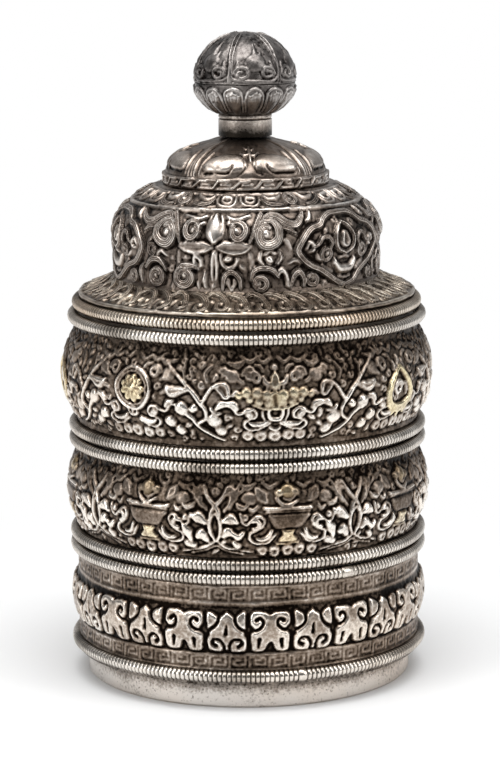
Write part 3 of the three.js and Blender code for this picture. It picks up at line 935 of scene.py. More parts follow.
# %% Upper tray: the plant at a panel's edge
UPPER_PLANT = [
    ([(11.5, 22.9), (6.4, 18.9), (2.2, 15.1), (-0.2, 11.9)], [0.25, 0.4, 0.5, 0.55], 0.68),
    ([(4.6, 17.6), (5.4, 20.1), (5.0, 22.5)], [0.3, 0.25], 0.5),
    ([(-0.2, 12.2), (-2.2, 14.9), (-3.8, 16.7), (-5.4, 17.1)], [0.45, 0.35, 0.35, 0.4], 0.64),
    ([(-5.0, 17.1), (-6.8, 16.5), (-7.6, 14.9)], [0.7, 1.4, 0.9], 0.7, hollowed),
    ([(3.4, 16.2), (6.0, 15.7), (8.6, 15.1), (10.8, 16.2)], [0.45, 0.9, 1.35, 0.4], 0.75, veined),
    ([(-2.2, 18.1), (-1.4, 20.1), (-3.0, 22.1)], [0.2, 0.5, 0.2], 0.45, veined),
    ([(-0.2, 12.1), (-1.6, 10.2), (-1.5, 8.2), (0.6, 6.9)], [0.4, 0.45, 0.4, 0.35], 0.66),
    ([(4.6, 10.1), (2.2, 8.1), (0.8, 6.1), (-2.6, 3.9), (-7.0, 2.1)], [0.8, 0.4, 0.4, 0.35, 0.2], 0.68),
    ([(5.9, 11.1), (5.3, 10.7)], [1.5, 1.35], 0.85),
    ([(2.0, 11.2), (2.4, 10.9)], 0.85, 0.8),
    ([(-4.0, 7.9), (-4.4, 7.6)], [1.6, 1.5], 0.85),
    ([(-5.8, 5.2), (-6.4, 4.7)], [1.25, 1.15], 0.8),
    ([(9.8, 7.1), (9.4, 6.8)], [1.35, 1.2], 0.82),
    ([(7.0, 5.0), (6.6, 4.6)], [1.2, 1.1], 0.8),
    ([(-4.3, 6.1), (-5.0, 3.9)], [0.35, 0.2], 0.6),
    ([(-5.2, 11.1), (-6.4, 12.2), (-8.2, 12.6)], [0.4, 0.8, 0.4], 0.7, veined),
    ([(-3.4, 10.9), (-4.6, 9.9), (-6.2, 9.9)], [0.35, 0.6, 0.3], 0.65, veined),
    ([(9.2, 20.2), (10.4, 18.7), (12.0, 18.1)], [0.25, 0.55, 0.25], 0.48, veined),
    ([(-6.6, 19.9), (-8.4, 20.9), (-10.4, 20.5)], [0.3, 0.7, 0.3], 0.46, veined),
]
print("strokes of a plant:", len(UPPER_PLANT))

# %% Upper tray: shell beads under an emblem
UPPER_BEADS = [(0.0, 1.6), (4.3, 1.5), (8.3, 1.35)]
SHELL_RAYS = (-50, -18, 18, 50)


def rayed_beads(band, middle, rise, beads):
    """Domes side by side under an emblem, each cut with rays like a small shell."""
    for away, size in beads:
        for side in (1, -1) if away else (1,):
            turn = middle + side * away
            band.stroke([(turn, rise - 0.3), (turn, rise)], size, 0.52, flat_topped)
            for ray in SHELL_RAYS:
                x, y = math.sin(math.radians(ray)), math.cos(math.radians(ray))
                out = (turn + 1.2 * size * x / band.mm_per_degree, rise - 0.5 + 1.2 * size * y)
                band.stroke([(turn + 0.2 * x, rise - 0.4), out], 0.14, 0.2, cut=True)


# %% Upper tray: the rosette
EMBLEM_RISE = 15.2
ROSETTE_PETALS = 9


def rosette_medallion(band, middle):
    """A gilt rosette in a double ring, over a small crescent and pearl."""
    band.stroke(ring_points(band, middle, EMBLEM_RISE, 5.5, 5.4), 0.45, 0.66)
    band.stroke(ring_points(band, middle, EMBLEM_RISE, 4.5, 4.4), 0.25, 0.54)
    for i in range(ROSETTE_PETALS):
        angle = i / ROSETTE_PETALS * 2 * math.pi
        points = [
            (middle + out * math.cos(angle) / band.mm_per_degree, EMBLEM_RISE + out * math.sin(angle))
            for out in (1.1, 2.0, 2.9)
        ]
        band.stroke(points, [0.45, 0.9, 0.85], 0.85, veined, 1.0)
    band.dot(middle, EMBLEM_RISE, 0.85, 1.0, 1.0)
    band.stroke(ring_points(band, middle, 9.0, 1.3, 1.1, 170, 370), [0.2, 0.4, 0.2], 0.6)
    band.dot(middle, 9.0, 0.5, 0.6)


# %% Upper tray: the lotus throne
LOTUS_DOTS = [
    ((2.6, 14.6, 1.25), (5.6, 15.0, 1.3), (8.6, 15.2, 1.15), (10.9, 14.7, 0.8)),
    ((2.2, 12.6, 1.15), (4.9, 12.9, 1.05), (7.4, 13.5, 0.8)),
]
THRONE_STROKES = [
    ([(0.0, 11.0), (3.6, 11.2), (6.6, 12.1)], [0.3, 0.3, 0.2], 0.5, domed, 0.6),
    ([(0.2, 8.2), (1.6, 8.5), (2.3, 9.9), (2.2, 10.9)], [0.5, 0.5, 0.4, 0.3], 0.64),
    ([(1.4, 7.2), (3.2, 8.1), (4.0, 9.7), (3.9, 10.7)], 0.22, 0.55),
    ([(1.4, 17.7), (2.8, 18.1), (3.6, 19.5)], [0.5, 0.6, 0.3], 0.5),
]


def tarnish(band, turn, rise, wide, high, amount):
    """Leaves an oval spot dull, where no finger rubs it bright."""
    x, y = band.place([(turn, rise)], False)[0]
    cells, grid_x, grid_y = band.window(x, y, wide, high)
    away = np.clip(np.hypot((grid_x - x) / wide, (grid_y - y) / high), 0, 1)
    band.dullness_and_shade[cells] = np.maximum(band.dullness_and_shade[cells], amount * (1 - away**4))


def lotus_throne(band, middle):
    """A jewel that stands on a wide gilt lotus, with a hanging crescent below."""
    for side in (1, -1):
        for dots, height, gilt in zip(LOTUS_DOTS, (0.6, 0.5), (0.7, 0.6)):
            for away, rise, size in dots:
                band.dot(middle + side * away, rise, size, height, gilt)
        band.chase(THRONE_STROKES, middle, side)
        curl(band, middle + side * 6.0, 19.2, 1.5, 90 - side * 60, side * 1.1, 0.42, 0.55)
    band.stroke([(middle, 12.2), (middle, 14.5)], [1.1, 1.2], 0.55, hollowed, 0.7)
    for away in (-2.4, -1.4, -0.5, 0.5, 1.4, 2.4):
        band.stroke([(middle + away, 16.1), (middle + away, 17.2)], 0.18, 0.5)
    band.stroke([(middle, 17.7), (middle, 19.1), (middle, 20.5)], [1.2, 1.0, 0.4], 0.66, veined, 0.5)
    band.dot(middle, 22.1, 0.85, 0.8)
    band.stroke(ring_points(band, middle, 6.1, 1.4, 0.8, 180, 360), [0.15, 0.35, 0.15], 0.56)
    tarnish(band, middle, 19.7, 4.6, 3.4, 0.4)


# %% Upper tray: the shell in its ring
PEAR_RING = [
    (
        [(0.0, 18.5), (2.2, 16.7), (4.6, 14.2), (5.7, 11.7), (4.8, 9.1), (2.4, 7.7), (0.0, 7.2)],
        [0.45, 0.7, 1.0, 1.15, 1.2],
        0.7,
        flat_topped,
        0.95,
    ),
]
SHELL_STROKES = [
    ([(2.2, 14.1), (3.8, 12.9), (3.4, 10.7)], [0.3, 0.8, 0.3], 0.45, veined),
    ([(2.4, 7.1), (3.2, 5.7)], [1.0, 0.3], 0.64, domed, 1.0),
    ([(1.8, 18.2), (2.5, 20.1)], [0.9, 0.3], 0.55, veined),
]


def ringed_shell(band, middle):
    """A shell in a broad gilt ring, pointed like a pear, with leaf tips above and below."""
    for side in (1, -1):
        band.chase(PEAR_RING, middle, side)
    curl(band, middle - 0.6, 12.9, 1.9, 20, 1.4, 0.5, 0.5)
    for side in (1, -1):
        band.chase(SHELL_STROKES, middle, side)
    band.stroke([(middle, 6.7), (middle, 5.1)], [1.1, 0.3], 0.6, domed, 0.9)
    band.stroke([(middle, 19.1), (middle, 21.5)], [1.0, 0.3], 0.55, veined)


# %% Upper tray: the wall
UPPER_MIDDLE = 8.5
UPPER_EMBLEMS = [
    lotus_throne,
    ringed_shell,
    rosette_medallion,
    lotus_throne,
    ringed_shell,
    rosette_medallion,
    ringed_shell,
    rosette_medallion,
]

upper_band = wall_band("upper_wall", swell=3.6, swell_from=73.95, swell_to=97.95, weight=1.3, depth=1.2)
for panel, emblem in enumerate(UPPER_EMBLEMS):
    middle = UPPER_MIDDLE + panel * PANEL
    middle -= 360 if middle > 180 else 0
    for side in (1, -1):
        upper_band.chase(UPPER_CLOUD, middle, side)
        curl(upper_band, middle + side * 7.6, 20.1, 1.75, 90 - side * 90, side * 1.3, 0.5, 0.46)
        upper_band.chase(UPPER_RIBBON, middle, side)
    upper_band.chase(UPPER_PLANT, middle + PANEL / 2, 1 if panel % 2 == 0 else -1)
    rayed_beads(upper_band, middle, 3.5, UPPER_BEADS)
    emblem(upper_band, middle)
finish_wall(upper_band, low=2.7, high=25.7, dull_and_shaded_from=9.7, seed=11)
wall_piece("upper_wall", upper_band)

# %% [markdown]
# The middle tray's wall has eight offering bowls. Each stands on a gadrooned foot with a jewel and a
# crescent over it, between two ribbons. The plants at the edges have broader leaves than the upper tray's.

# %% Middle tray: ribbons and clouds
MIDDLE_RIBBON = [
    ([(14.6, 12.8), (14.3, 10.7), (12.8, 9.7), (11.2, 11.0), (9.2, 12.1), (7.7, 11.1), (8.0, 9.2)],
     0.28, 0.62),
    ([(8.0, 9.2), (9.8, 8.0), (11.7, 7.4), (12.1, 6.0), (11.0, 4.9), (8.5, 4.5), (5.9, 5.0), (4.2, 7.1)],
     0.28, 0.62),
    ([(10.9, 10.5), (9.6, 10.9), (9.0, 9.9), (9.4, 8.9), (10.9, 8.5)], [0.3, 0.55, 0.7, 0.55, 0.3], 0.68),
    ([(9.4, 5.7), (7.6, 5.6), (6.0, 6.4), (5.3, 8.1)], [0.25, 0.55, 0.65, 0.3], 0.68),
    ([(13.1, 11.5), (13.2, 11.7)], 0.75, 0.55),
]
MIDDLE_CLOUD = [
    ([(7.0, 16.1), (8.6, 17.7), (9.6, 19.2)], [0.5, 1.35, 0.6], 0.42, veined),
    ([(12.0, 16.6), (12.3, 16.6)], 1.45, 0.48),
    ([(18.4, 14.3), (16.9, 17.1), (15.0, 20.1)], [0.25, 1.0, 0.25], 0.42, veined),
    ([(3.4, 20.5), (5.6, 19.7), (7.6, 20.8)], [0.2, 0.5, 0.2], 0.36),
    ([(10.2, 20.5), (12.6, 19.5), (14.8, 20.5)], [0.25, 0.8, 0.25], 0.38, veined),
    ([(9.6, 14.5), (10.6, 13.5), (11.9, 14.1)], [0.2, 0.45, 0.25], 0.45),
    ([(13.9, 14.5), (14.6, 14.7)], 0.6, 0.42),
]
print("strokes on each side of a panel:", len(MIDDLE_RIBBON) + len(MIDDLE_CLOUD))

# %% Middle tray: the plant and its leaves
MIDDLE_PLANT = [
    ([(0.2, 12.7), (1.7, 10.8), (1.7, 7.8), (0.3, 5.2)], [0.35, 0.55, 0.35], 0.64),
    ([(1.7, 11.3), (0.9, 13.5), (-0.6, 15.5), (-2.4, 17.3), (-3.8, 19.9)], [0.4, 0.6, 0.5, 0.3], 0.64),
    ([(2.6, 13.5), (4.2, 15.5), (6.4, 17.3), (9.0, 19.1)], 0.24, 0.45),
    ([(3.6, 18.4), (4.6, 18.9), (5.8, 18.5)], [0.8, 1.3, 0.8], 0.46, veined),
    ([(6.6, 15.5), (7.4, 14.5), (8.9, 14.2), (10.1, 14.9)], [0.3, 0.5, 0.5, 0.3], 0.55),
    ([(0.3, 5.1), (3.2, 3.4), (7.0, 2.6), (11.5, 1.6)], [0.4, 0.4, 0.3, 0.2], 0.55),
    ([(0.3, 3.7), (3.5, 2.3), (8.5, 1.3)], 0.22, 0.45),
    ([(1.2, 4.1), (2.6, 5.1)], [0.25, 0.5], 0.5),
]
SMALL_LEAVES = [
    ([(3.0, 10.9), (4.8, 11.4), (6.6, 10.5)], [0.7, 1.3, 0.5], 0.85),
    ([(2.8, 6.9), (3.9, 8.0), (5.0, 7.5)], [0.7, 1.15, 0.7], 0.85),
    ([(5.6, 7.3), (6.9, 6.5), (8.2, 7.4)], [0.6, 0.9, 0.5], 0.8),
    ([(6.0, 4.7), (6.9, 3.7)], [0.7, 0.9], 0.75),
]
BROAD_LEAVES = [
    ([(3.4, 10.5), (5.4, 11.7), (7.8, 12.3)], [0.8, 1.35, 0.4], 0.85),
    ([(10.0, 9.4), (8.7, 7.7), (7.6, 5.5)], [0.5, 1.25, 0.5], 0.85),
    ([(3.0, 5.5), (4.2, 6.8), (5.2, 6.4)], [0.8, 1.3, 0.9], 0.85),
    ([(7.4, 3.9), (9.0, 4.5)], [0.95, 1.1], 0.8),
]
print("strokes of a plant:", len(MIDDLE_PLANT) + len(BROAD_LEAVES))

# %% [markdown]
# Some forms are not lines but plates, flat on top with a rounded edge: here the bowl and its foot, and on
# the base the whole frieze. A cell is inside an outline if a line from it crosses the outline an odd
# number of times, and its height follows from how far away the edge is.


# %% Plates
def plate(band, points, height, bevel=0.4, gilt=0.0):
    """Raises a closed outline, flat on top with a rounded edge."""
    line = band.place(points)
    line, _ = smooth_line(np.vstack([line, line[:1]]), 1)
    cells, grid_x, grid_y = band.window(*line.T, 0.1)
    nearest = np.full(grid_x.shape, FAR)
    inside = np.zeros(grid_x.shape, bool)
    for i, _, away in pieces_of(line, grid_x, grid_y):
        nearest = np.minimum(nearest, away)
        (x0, y0), (x1, y1) = line[i : i + 2]
        if abs(y1 - y0) > TINY:
            crosses = (y0 > grid_y) != (y1 > grid_y)
            inside ^= crosses & (grid_x < x0 + (grid_y - y0) * (x1 - x0) / (y1 - y0))
    edge = np.clip(nearest / bevel, 0, 1)
    raised = np.where(inside, height * np.sqrt(1 - (1 - edge) ** 2), 0)
    band.join(cells, raised, inside, gilt, False, 0 * edge)


# %% Middle tray: the offering bowl
MIDDLE_BEADS = [(0.0, 1.45), (4.1, 1.4), (8.1, 1.3)]
BOWL_OUTLINE = [
    (-6.4, 12.7), (6.4, 12.7), (5.6, 10.5), (4.2, 8.9), (2.4, 8.5), (-2.4, 8.5), (-4.2, 8.9), (-5.6, 10.5),
]
BOWL_FOOT_OUTLINE = [(-2.2, 8.3), (2.2, 8.3), (1.8, 6.9), (3.0, 4.9), (-3.0, 4.9), (-1.8, 6.9)]
BOWL_RIMS = [
    ([(-7.3, 14.1), (0.0, 13.9), (7.3, 14.1)], 0.36, 0.74),
    ([(-6.8, 13.2), (6.8, 13.2)], 0.2, 0.6),
]
BOWL_CRESCENT = [
    ([(-3.4, 16.9), (-1.8, 15.2), (0.4, 14.8), (2.8, 15.8)], [0.3, 0.6, 0.6, 0.25], 0.64),
    ([(-1.4, 16.7), (0.4, 16.1), (2.2, 16.9)], [0.2, 0.4, 0.2], 0.5),
    ([(0.0, 20.3), (0.0, 21.1)], 0.5, 0.4),
]


def offering_bowl(band, middle):
    """A bowl on a gadrooned foot, with a jewel and a crescent over it."""
    plate(band, at_turn(middle, BOWL_OUTLINE), 0.55, 1.2)
    band.chase(BOWL_RIMS, middle)
    plate(band, at_turn(middle, BOWL_FOOT_OUTLINE), 0.62, 0.5, 0.8)
    for away in (-2.0, -1.0, 0.0, 1.0, 2.0):
        band.stroke([(middle + away * 0.6, 7.1), (middle + away, 5.2)], 0.14, 0.16, cut=True)
    band.dot(middle, 6.7, 0.55, 0.8)
    band.stroke([(middle - 3.4, 4.3), (middle + 3.4, 4.3)], 0.28, 0.5, domed, 0.6)
    band.dot(middle, 18.5, 1.7, 0.85, 0.8)
    curl(band, middle, 18.5, 1.15, 40, 1.2, 0.3, 0.95, 0.8)
    for away in (-2.7, 2.7):
        band.dot(middle + away, 18.1, 0.95, 0.7, 0.45)
    band.chase(BOWL_CRESCENT, middle)


# %% Middle tray: the wall
MIDDLE_TRAY_TURN = 12.5

middle_band = wall_band("middle_wall", swell=2.5, swell_from=43.7, swell_to=63.55, weight=1.3, depth=1.2)
for panel in range(PANELS):
    middle = MIDDLE_TRAY_TURN + (panel - PANELS / 2) * PANEL
    for side in (1, -1):
        middle_band.chase(MIDDLE_CLOUD, middle, side)
        middle_band.chase(MIDDLE_RIBBON, middle, side)
        middle_band.chase(MIDDLE_PLANT, middle + PANEL / 2, side)
        middle_band.chase(SMALL_LEAVES if side > 0 else BROAD_LEAVES, middle + PANEL / 2, side)
    rayed_beads(middle_band, middle, 2.4, MIDDLE_BEADS)
    offering_bowl(middle_band, middle)
    tarnish(middle_band, middle, 11.1, 6.2, 3.6, 0.9)
finish_wall(middle_band, low=1.9, high=21.9, dull_and_shaded_from=7.9, seed=12)
wall_piece("middle_wall", middle_band)

# %% [markdown]
# The base wall has a broad frieze of flat, polished plates between two bands of square key fret. The
# plates are cloud heads and lotus buds in turn, each cut with curls, and nearly touch one another. Their
# ground is punched down and black, which makes them stand out more than anything else on the box.

# %% Base box: key fret
FRET_UNITS = 56
FRET_LINE = 0.24
FRET_HEIGHT = 0.26
FRET_TALL = 2.9
FRET_HOOK = [(0.04, 0.0), (0.04, 1.0), (0.84, 1.0), (0.84, 0.26), (0.3, 0.26), (0.3, 0.72), (0.6, 0.72)]


def rail(band, rise, width, height):
    """A line right round the band."""
    for turn in range(-180, 180, 15):
        band.stroke([(turn, rise), (turn + 15, rise)], width, height)


def key_fret(band, foot):
    """A row of square hooks between two lines."""
    pitch = 360 / FRET_UNITS
    for i in range(FRET_UNITS):
        turn = -180 + i * pitch
        points = [(turn + x * pitch, foot + y * FRET_TALL) for x, y in FRET_HOOK]
        band.stroke(points, FRET_LINE, FRET_HEIGHT, flat_topped, sharp=True)
    for edge in (foot - 0.75, foot + FRET_TALL + 0.7):
        rail(band, edge, 0.22, 0.4)


# %% Base box: frieze plates
# Each outline and cut is drawn in millimetres from the middle of its plate, and only the right half of it.
PLATE_HEIGHT = 0.6
MIDDLE_RISE = 10.8

CLOUD_BLOCK = [
    (0.0, 5.0), (1.5, 5.6), (4.4, 5.6), (5.4, 4.6), (5.3, 2.4), (4.5, 1.3), (4.5, 0.2), (5.4, -0.8),
    (5.4, -3.6), (5.0, -5.4), (2.6, -5.6), (1.2, -4.9), (0.6, -3.2), (0.0, -2.6),
]
LOTUS_BLOCK = [
    (0.0, 5.8), (1.2, 4.8), (2.2, 4.3), (3.4, 5.1), (5.0, 5.6), (5.4, 4.2), (5.3, 0.9), (4.8, -0.5),
    (5.4, -2.0), (5.3, -4.8), (4.4, -5.6), (1.4, -5.6), (0.0, -5.1),
]
CLOUD_CUTS = [
    ([(5.2, 0.6), (3.8, 0.6), (2.5, 1.4), (2.0, 2.8), (2.8, 3.7), (3.7, 3.2)],
     [0.6, 0.45, 0.4, 0.4, 0.5, 0.65]),
    ([(3.2, -4.4), (3.0, -2.0)], [0.2, 0.6]),
]
LOTUS_CUTS = [
    ([(2.1, 4.6), (2.3, 2.9), (3.4, 1.4), (5.2, 0.3)], [0.5, 0.38, 0.4, 0.55]),
    ([(0.9, -5.5), (0.8, -3.6), (1.8, -2.0), (3.4, -2.0), (4.0, -3.2), (3.1, -3.9)],
     [0.45, 0.36, 0.36, 0.36, 0.5, 0.6]),
    ([(0.0, 2.2), (0.0, -0.4)], [0.15, 0.5]),
]


def frieze_plate(band, turn, outline, cuts):
    """A plate that is the same on both sides of its middle line, cut with its curls."""
    scale = 1 / band.mm_per_degree
    right = [(turn + x * scale, MIDDLE_RISE + y) for x, y in outline]
    left = [(turn - x * scale, MIDDLE_RISE + y) for x, y in outline[-2:0:-1]]
    plate(band, right + left, PLATE_HEIGHT)
    for points, widths in cuts:
        for side in (1, -1):
            line = [(turn + side * x * scale, MIDDLE_RISE + y) for x, y in points]
            band.stroke(line, widths, PLATE_HEIGHT, flat_topped, cut=True)


# %% Base box: the wall
FRIEZE_PLATES = 26
FRIEZE_FOOT = 4.4
FRIEZE_TOP = 18.0
FRIEZE_SINK = 0.3
FRET_FEET = (0.8, 19.4)

base_band = wall_band("base_wall", swell=1.5, swell_from=16.3, swell_to=29.9)
for foot in FRET_FEET:
    key_fret(base_band, foot)
for i in range(FRIEZE_PLATES):
    turn = -180 + (i + 0.5) * 360 / FRIEZE_PLATES
    outline, cuts = (CLOUD_BLOCK, CLOUD_CUTS) if i % 2 else (LOTUS_BLOCK, LOTUS_CUTS)
    frieze_plate(base_band, turn, outline, cuts)
rise = base_band.outside[:, 1] - base_band.foot
sunk = (rise > FRIEZE_FOOT) & (rise < FRIEZE_TOP)
base_band.height[sunk] = np.where(base_band.height[sunk] > 0.1, base_band.height[sunk], -FRIEZE_SINK)
set_down(base_band, 0.5, 5)
hammer(base_band, 0.03, 3, 13)
wall_piece("base_wall", base_band)

# %% [markdown]
# The lid's flange, drum and shoulder are one sheet, raised over a stake and chased all over, with a
# greyer tarnish than the walls. Three pointed cartouches lie round the drum, in broad combed rims.
# Between them is a lotus bud over crossed leaves, with combed spirals beside it. The shoulder has half
# rounds between combed scrolls, and the flange has pairs of leaves that curl round pearls.

# %% Silver of the lid
lid_silver = silver(
    "lid silver",
    low=-0.3,
    high=0.7,
    stops=[
        (0.05, BLACK),
        (0.3, (0.17, 0.138, 0.116)),
        (0.6, (0.38, 0.335, 0.3)),
        (0.93, (0.9, 0.86, 0.81)),
    ],
    rough_ground=0.42,
    rough_worn=0.26,
    gilt=True,
    pits=0.09,
    mottle=0.3,
    stain=0.15,
    specks=0.15,
)

# %% Lid: the drum's outside line
LID_CELL = 0.35
FLANGE_EDGE_RADIUS = 46.5
FLANGE_EDGE_FOOT = 106.91
FLANGE_EDGE_TOP = 107.65
FLANGE_BEND_RADIUS = 41.0
FLANGE_BEND_RISE = 109.6
DRUM_RADIUS = 36.9
DRUM_FOOT = 112.05
DRUM_TOP = 118.0
SHOULDER_RADIUS = 37.4
SHOULDER_FOOT = 123.95
SHOULDER_ROUND = 17.9
CROWN_SEAT_RADIUS = 24.4
DRUM_SINK = 0.6


def evenly(points, step):
    """The same line with its points a step apart."""
    points = np.array(points, float)
    way = np.concatenate([[0], np.cumsum(np.hypot(*np.diff(points, axis=0).T))])
    spots = np.linspace(0, way[-1], round(way[-1] / step) + 1)
    return np.stack([np.interp(spots, way, points[:, 0]), np.interp(spots, way, points[:, 1])], 1)


def drum_line():
    """The outside of the ground between the forms, so a little inside the radii above."""
    flange = [
        (FLANGE_EDGE_RADIUS, FLANGE_EDGE_FOOT),
        (FLANGE_EDGE_RADIUS, FLANGE_EDGE_TOP),
        (FLANGE_BEND_RADIUS, FLANGE_BEND_RISE),
    ]
    ground = DRUM_RADIUS - DRUM_SINK
    drum = [(ground, DRUM_FOOT), (ground, DRUM_TOP)]
    for t in np.linspace(0, 1, 9)[1:]:
        radius = ground + (SHOULDER_RADIUS - DRUM_RADIUS) * (1 - math.cos(t * math.pi)) / 2
        drum.append((radius, DRUM_TOP + t * (SHOULDER_FOOT - DRUM_TOP)))
    top = math.acos(CROWN_SEAT_RADIUS / SHOULDER_RADIUS)
    shoulder = []
    for angle in np.linspace(0, top, 60)[1:]:
        radius = SHOULDER_RADIUS * math.cos(angle) - DRUM_SINK * (1 - angle / top)
        shoulder.append((radius, SHOULDER_FOOT + SHOULDER_ROUND * math.sin(angle)))
    return evenly(flange + drum + shoulder, LID_CELL)


# %% Lid: spirals of combed ribbon
def combed_curl(band, turn, rise, radius, start, turns, width, height, flat=1.0):
    """A broad ribbon wound round a boss, with lines combed along it; flat lowers its rise on a slope."""
    points = ring_points(band, turn, rise, radius, radius * flat, start, start + 360 * turns, 0.45, 22)
    lean_x = 0.22 * radius * math.cos(math.radians(start)) / band.mm_per_degree
    lean_y = 0.22 * radius * flat * math.sin(math.radians(start))
    points = [(x + lean_x * i / 22, y + lean_y * i / 22) for i, (x, y) in enumerate(points)]
    band.dot(turn + lean_x, rise + lean_y, radius * 0.62, height * 0.62)
    band.stroke(points, [width * 0.35, width, width * 1.15, width, width * 0.6], height, combed)
    band.dot(turn + lean_x, rise + lean_y, radius * 0.26, height * 1.1)


# On both sides of the bud: away, rise, radius, start, its lean to that side, turns, width and height.
DRUM_SPIRALS = [
    (10.3, 16.5, 2.7, 90, 60, -1.1, 0.85, 0.9),
    (22.8, 15.6, 3.7, 90, 40, -1.2, 1.15, 1.05),
    (49.4, 9.8, 1.9, 90, 0, 1.1, 0.6, 0.75),
    (42.6, 3.2, 1.8, 90, 0, 1.2, 0.65, 0.75),
]
# On one side only: away, rise, radius, start, turns, width and height.
LOWER_SPIRALS = [
    (19.6, 3.2, 2.2, 180, 1.2, 0.8, 0.85),
    (-13.4, 4.1, 2.8, 60, 1.3, 1.1, 0.95),
    (-27.6, 3.8, 2.5, 120, -1.3, 0.95, 0.9),
    (-29.8, 11.2, 1.8, 0, 1.2, 0.65, 0.75),
]

# %% Lid: the bud, its leaves and the scrolls over them
DRUM_STROKES = [
    ([(0.0, 14.0), (0.0, 15.9), (0.0, 18.0), (0.0, 20.7)], [0.7, 1.75, 1.7, 0.25], 1.0),
    ([(1.0, 13.8), (3.2, 15.8), (3.6, 18.2), (2.2, 20.5)], [0.25, 0.35, 0.35, 0.25], 0.6),
    ([(1.0, 12.5), (4.5, 12.6), (8.2, 12.5), (12.0, 12.5), (15.3, 12.8)],
     [0.3, 1.3, 1.6, 1.4, 0.3], 0.85, hollowed),
    ([(3.0, 12.6), (13.0, 12.5)], [0.2, 0.3], 0.55),
    ([(0.5, 11.5), (0.9, 7.8), (0.7, 3.5)], [0.3, 0.45, 0.2], 0.8),
    ([(20.6, 20.8), (18.2, 18.8), (16.4, 16.3), (15.2, 13.9)], [0.8, 0.65, 0.6, 0.4], 0.75, combed),
    ([(15.4, 10.9), (16.2, 7.3), (17.4, 4.3), (19.0, 1.3)], [0.35, 0.55, 0.55, 0.7], 0.7, hollowed),
    ([(4.4, 20.5), (7.5, 19.8), (11.0, 19.9), (15.4, 20.5)], [0.3, 0.6, 0.6, 0.3], 0.7),
    ([(5.6, 18.9), (7.6, 18.3)], [0.5, 0.3], 0.6),
    ([(20.0, 18.5), (23.4, 20.3), (27.6, 20.0), (31.6, 18.7), (35.6, 18.3), (39.0, 19.5), (41.0, 20.8)],
     [0.5, 1.0, 1.25, 1.15, 1.0, 0.8, 0.4], 0.85, combed),
    ([(26.6, 18.3), (29.4, 17.5), (32.4, 17.2), (35.4, 15.8)], [0.4, 0.8, 0.7, 0.2], 0.7, combed),
    ([(44.6, 21.2), (43.4, 19.5), (41.6, 18.8)], [0.3, 0.6, 0.3], 0.7),
    ([(28.6, 14.8), (31.0, 13.8), (32.6, 12.1)], [0.3, 0.6, 0.2], 0.6, veined),
]
print("strokes on each side of a bud:", len(DRUM_STROKES))

# %% Lid: the lower scrolls, which differ on the two sides
DRUM_RIGHT = [
    ([(3.0, 10.8), (3.3, 8.5), (5.4, 7.3), (8.6, 7.9), (9.8, 9.8)], [0.25, 0.45, 0.5, 0.45, 0.25], 0.7),
    ([(5.8, 9.5), (6.2, 9.6)], 0.85, 0.85),
    ([(3.6, 1.3), (4.0, 4.5), (7.2, 6.3), (10.6, 4.5), (11.3, 1.3)],
     [0.4, 0.75, 0.85, 0.75, 0.4], 0.85, combed),
    ([(7.3, 1.1), (5.9, 2.9), (6.1, 4.3)], [0.3, 0.55, 0.3], 0.7, veined),
    ([(7.5, 1.1), (8.9, 2.9), (8.7, 4.3)], [0.3, 0.55, 0.3], 0.7, veined),
    ([(19.4, 11.5), (18.9, 9.6), (20.6, 8.1)], [0.25, 0.55, 0.3], 0.65),
    ([(27.0, 11.5), (28.4, 9.6), (27.0, 8.1)], [0.25, 0.55, 0.3], 0.65, combed),
    ([(20.8, 10.8), (23.2, 11.4), (25.6, 10.8)], 0.4, 0.6),
    ([(23.0, 9.5), (23.4, 9.1)], 0.9, 0.85),
    ([(15.4, 3.9), (17.0, 6.2), (20.5, 7.2), (24.5, 6.6), (26.9, 4.5)],
     [0.4, 0.8, 0.9, 0.8, 0.5], 0.85, combed),
    ([(26.6, 4.9), (28.6, 6.2), (30.6, 4.8), (31.5, 1.8)], [0.5, 0.75, 0.6, 0.4], 0.8),
    ([(32.4, 1.5), (33.6, 4.8), (36.4, 5.8), (38.6, 3.9), (38.4, 1.5)],
     [0.4, 0.85, 0.9, 0.7, 0.4], 0.8, combed),
    ([(31.6, 8.1), (34.4, 8.9), (37.0, 7.8)], [0.3, 0.6, 0.3], 0.55, veined),
]
DRUM_LEFT = [
    ([(5.4, 7.5), (6.0, 9.5), (8.2, 10.2), (9.0, 8.8), (7.4, 7.8)], [0.4, 0.6, 0.6, 0.5, 0.4], 0.8),
    ([(6.6, 6.8), (10.0, 7.5), (14.0, 7.5), (17.0, 5.5)], [0.4, 0.8, 0.9, 0.5], 0.85, combed),
    ([(3.8, 5.8), (4.6, 3.8), (3.8, 1.5)], [0.3, 0.6, 0.3], 0.6, veined),
    ([(7.4, 2.9), (7.0, 1.3)], [0.5, 0.3], 0.5),
    ([(33.5, 6.3), (30.2, 8.5), (25.6, 8.4), (22.4, 5.9)], [0.5, 0.9, 0.95, 0.4], 0.85, combed),
    ([(21.6, 9.9), (24.6, 11.1), (26.4, 9.9)], [0.3, 0.6, 0.4], 0.65),
    ([(35.4, 6.8), (37.6, 4.8), (36.6, 1.8)], [0.4, 0.9, 0.4], 0.75, combed),
]
print("lower strokes, right and left:", len(DRUM_RIGHT), len(DRUM_LEFT))

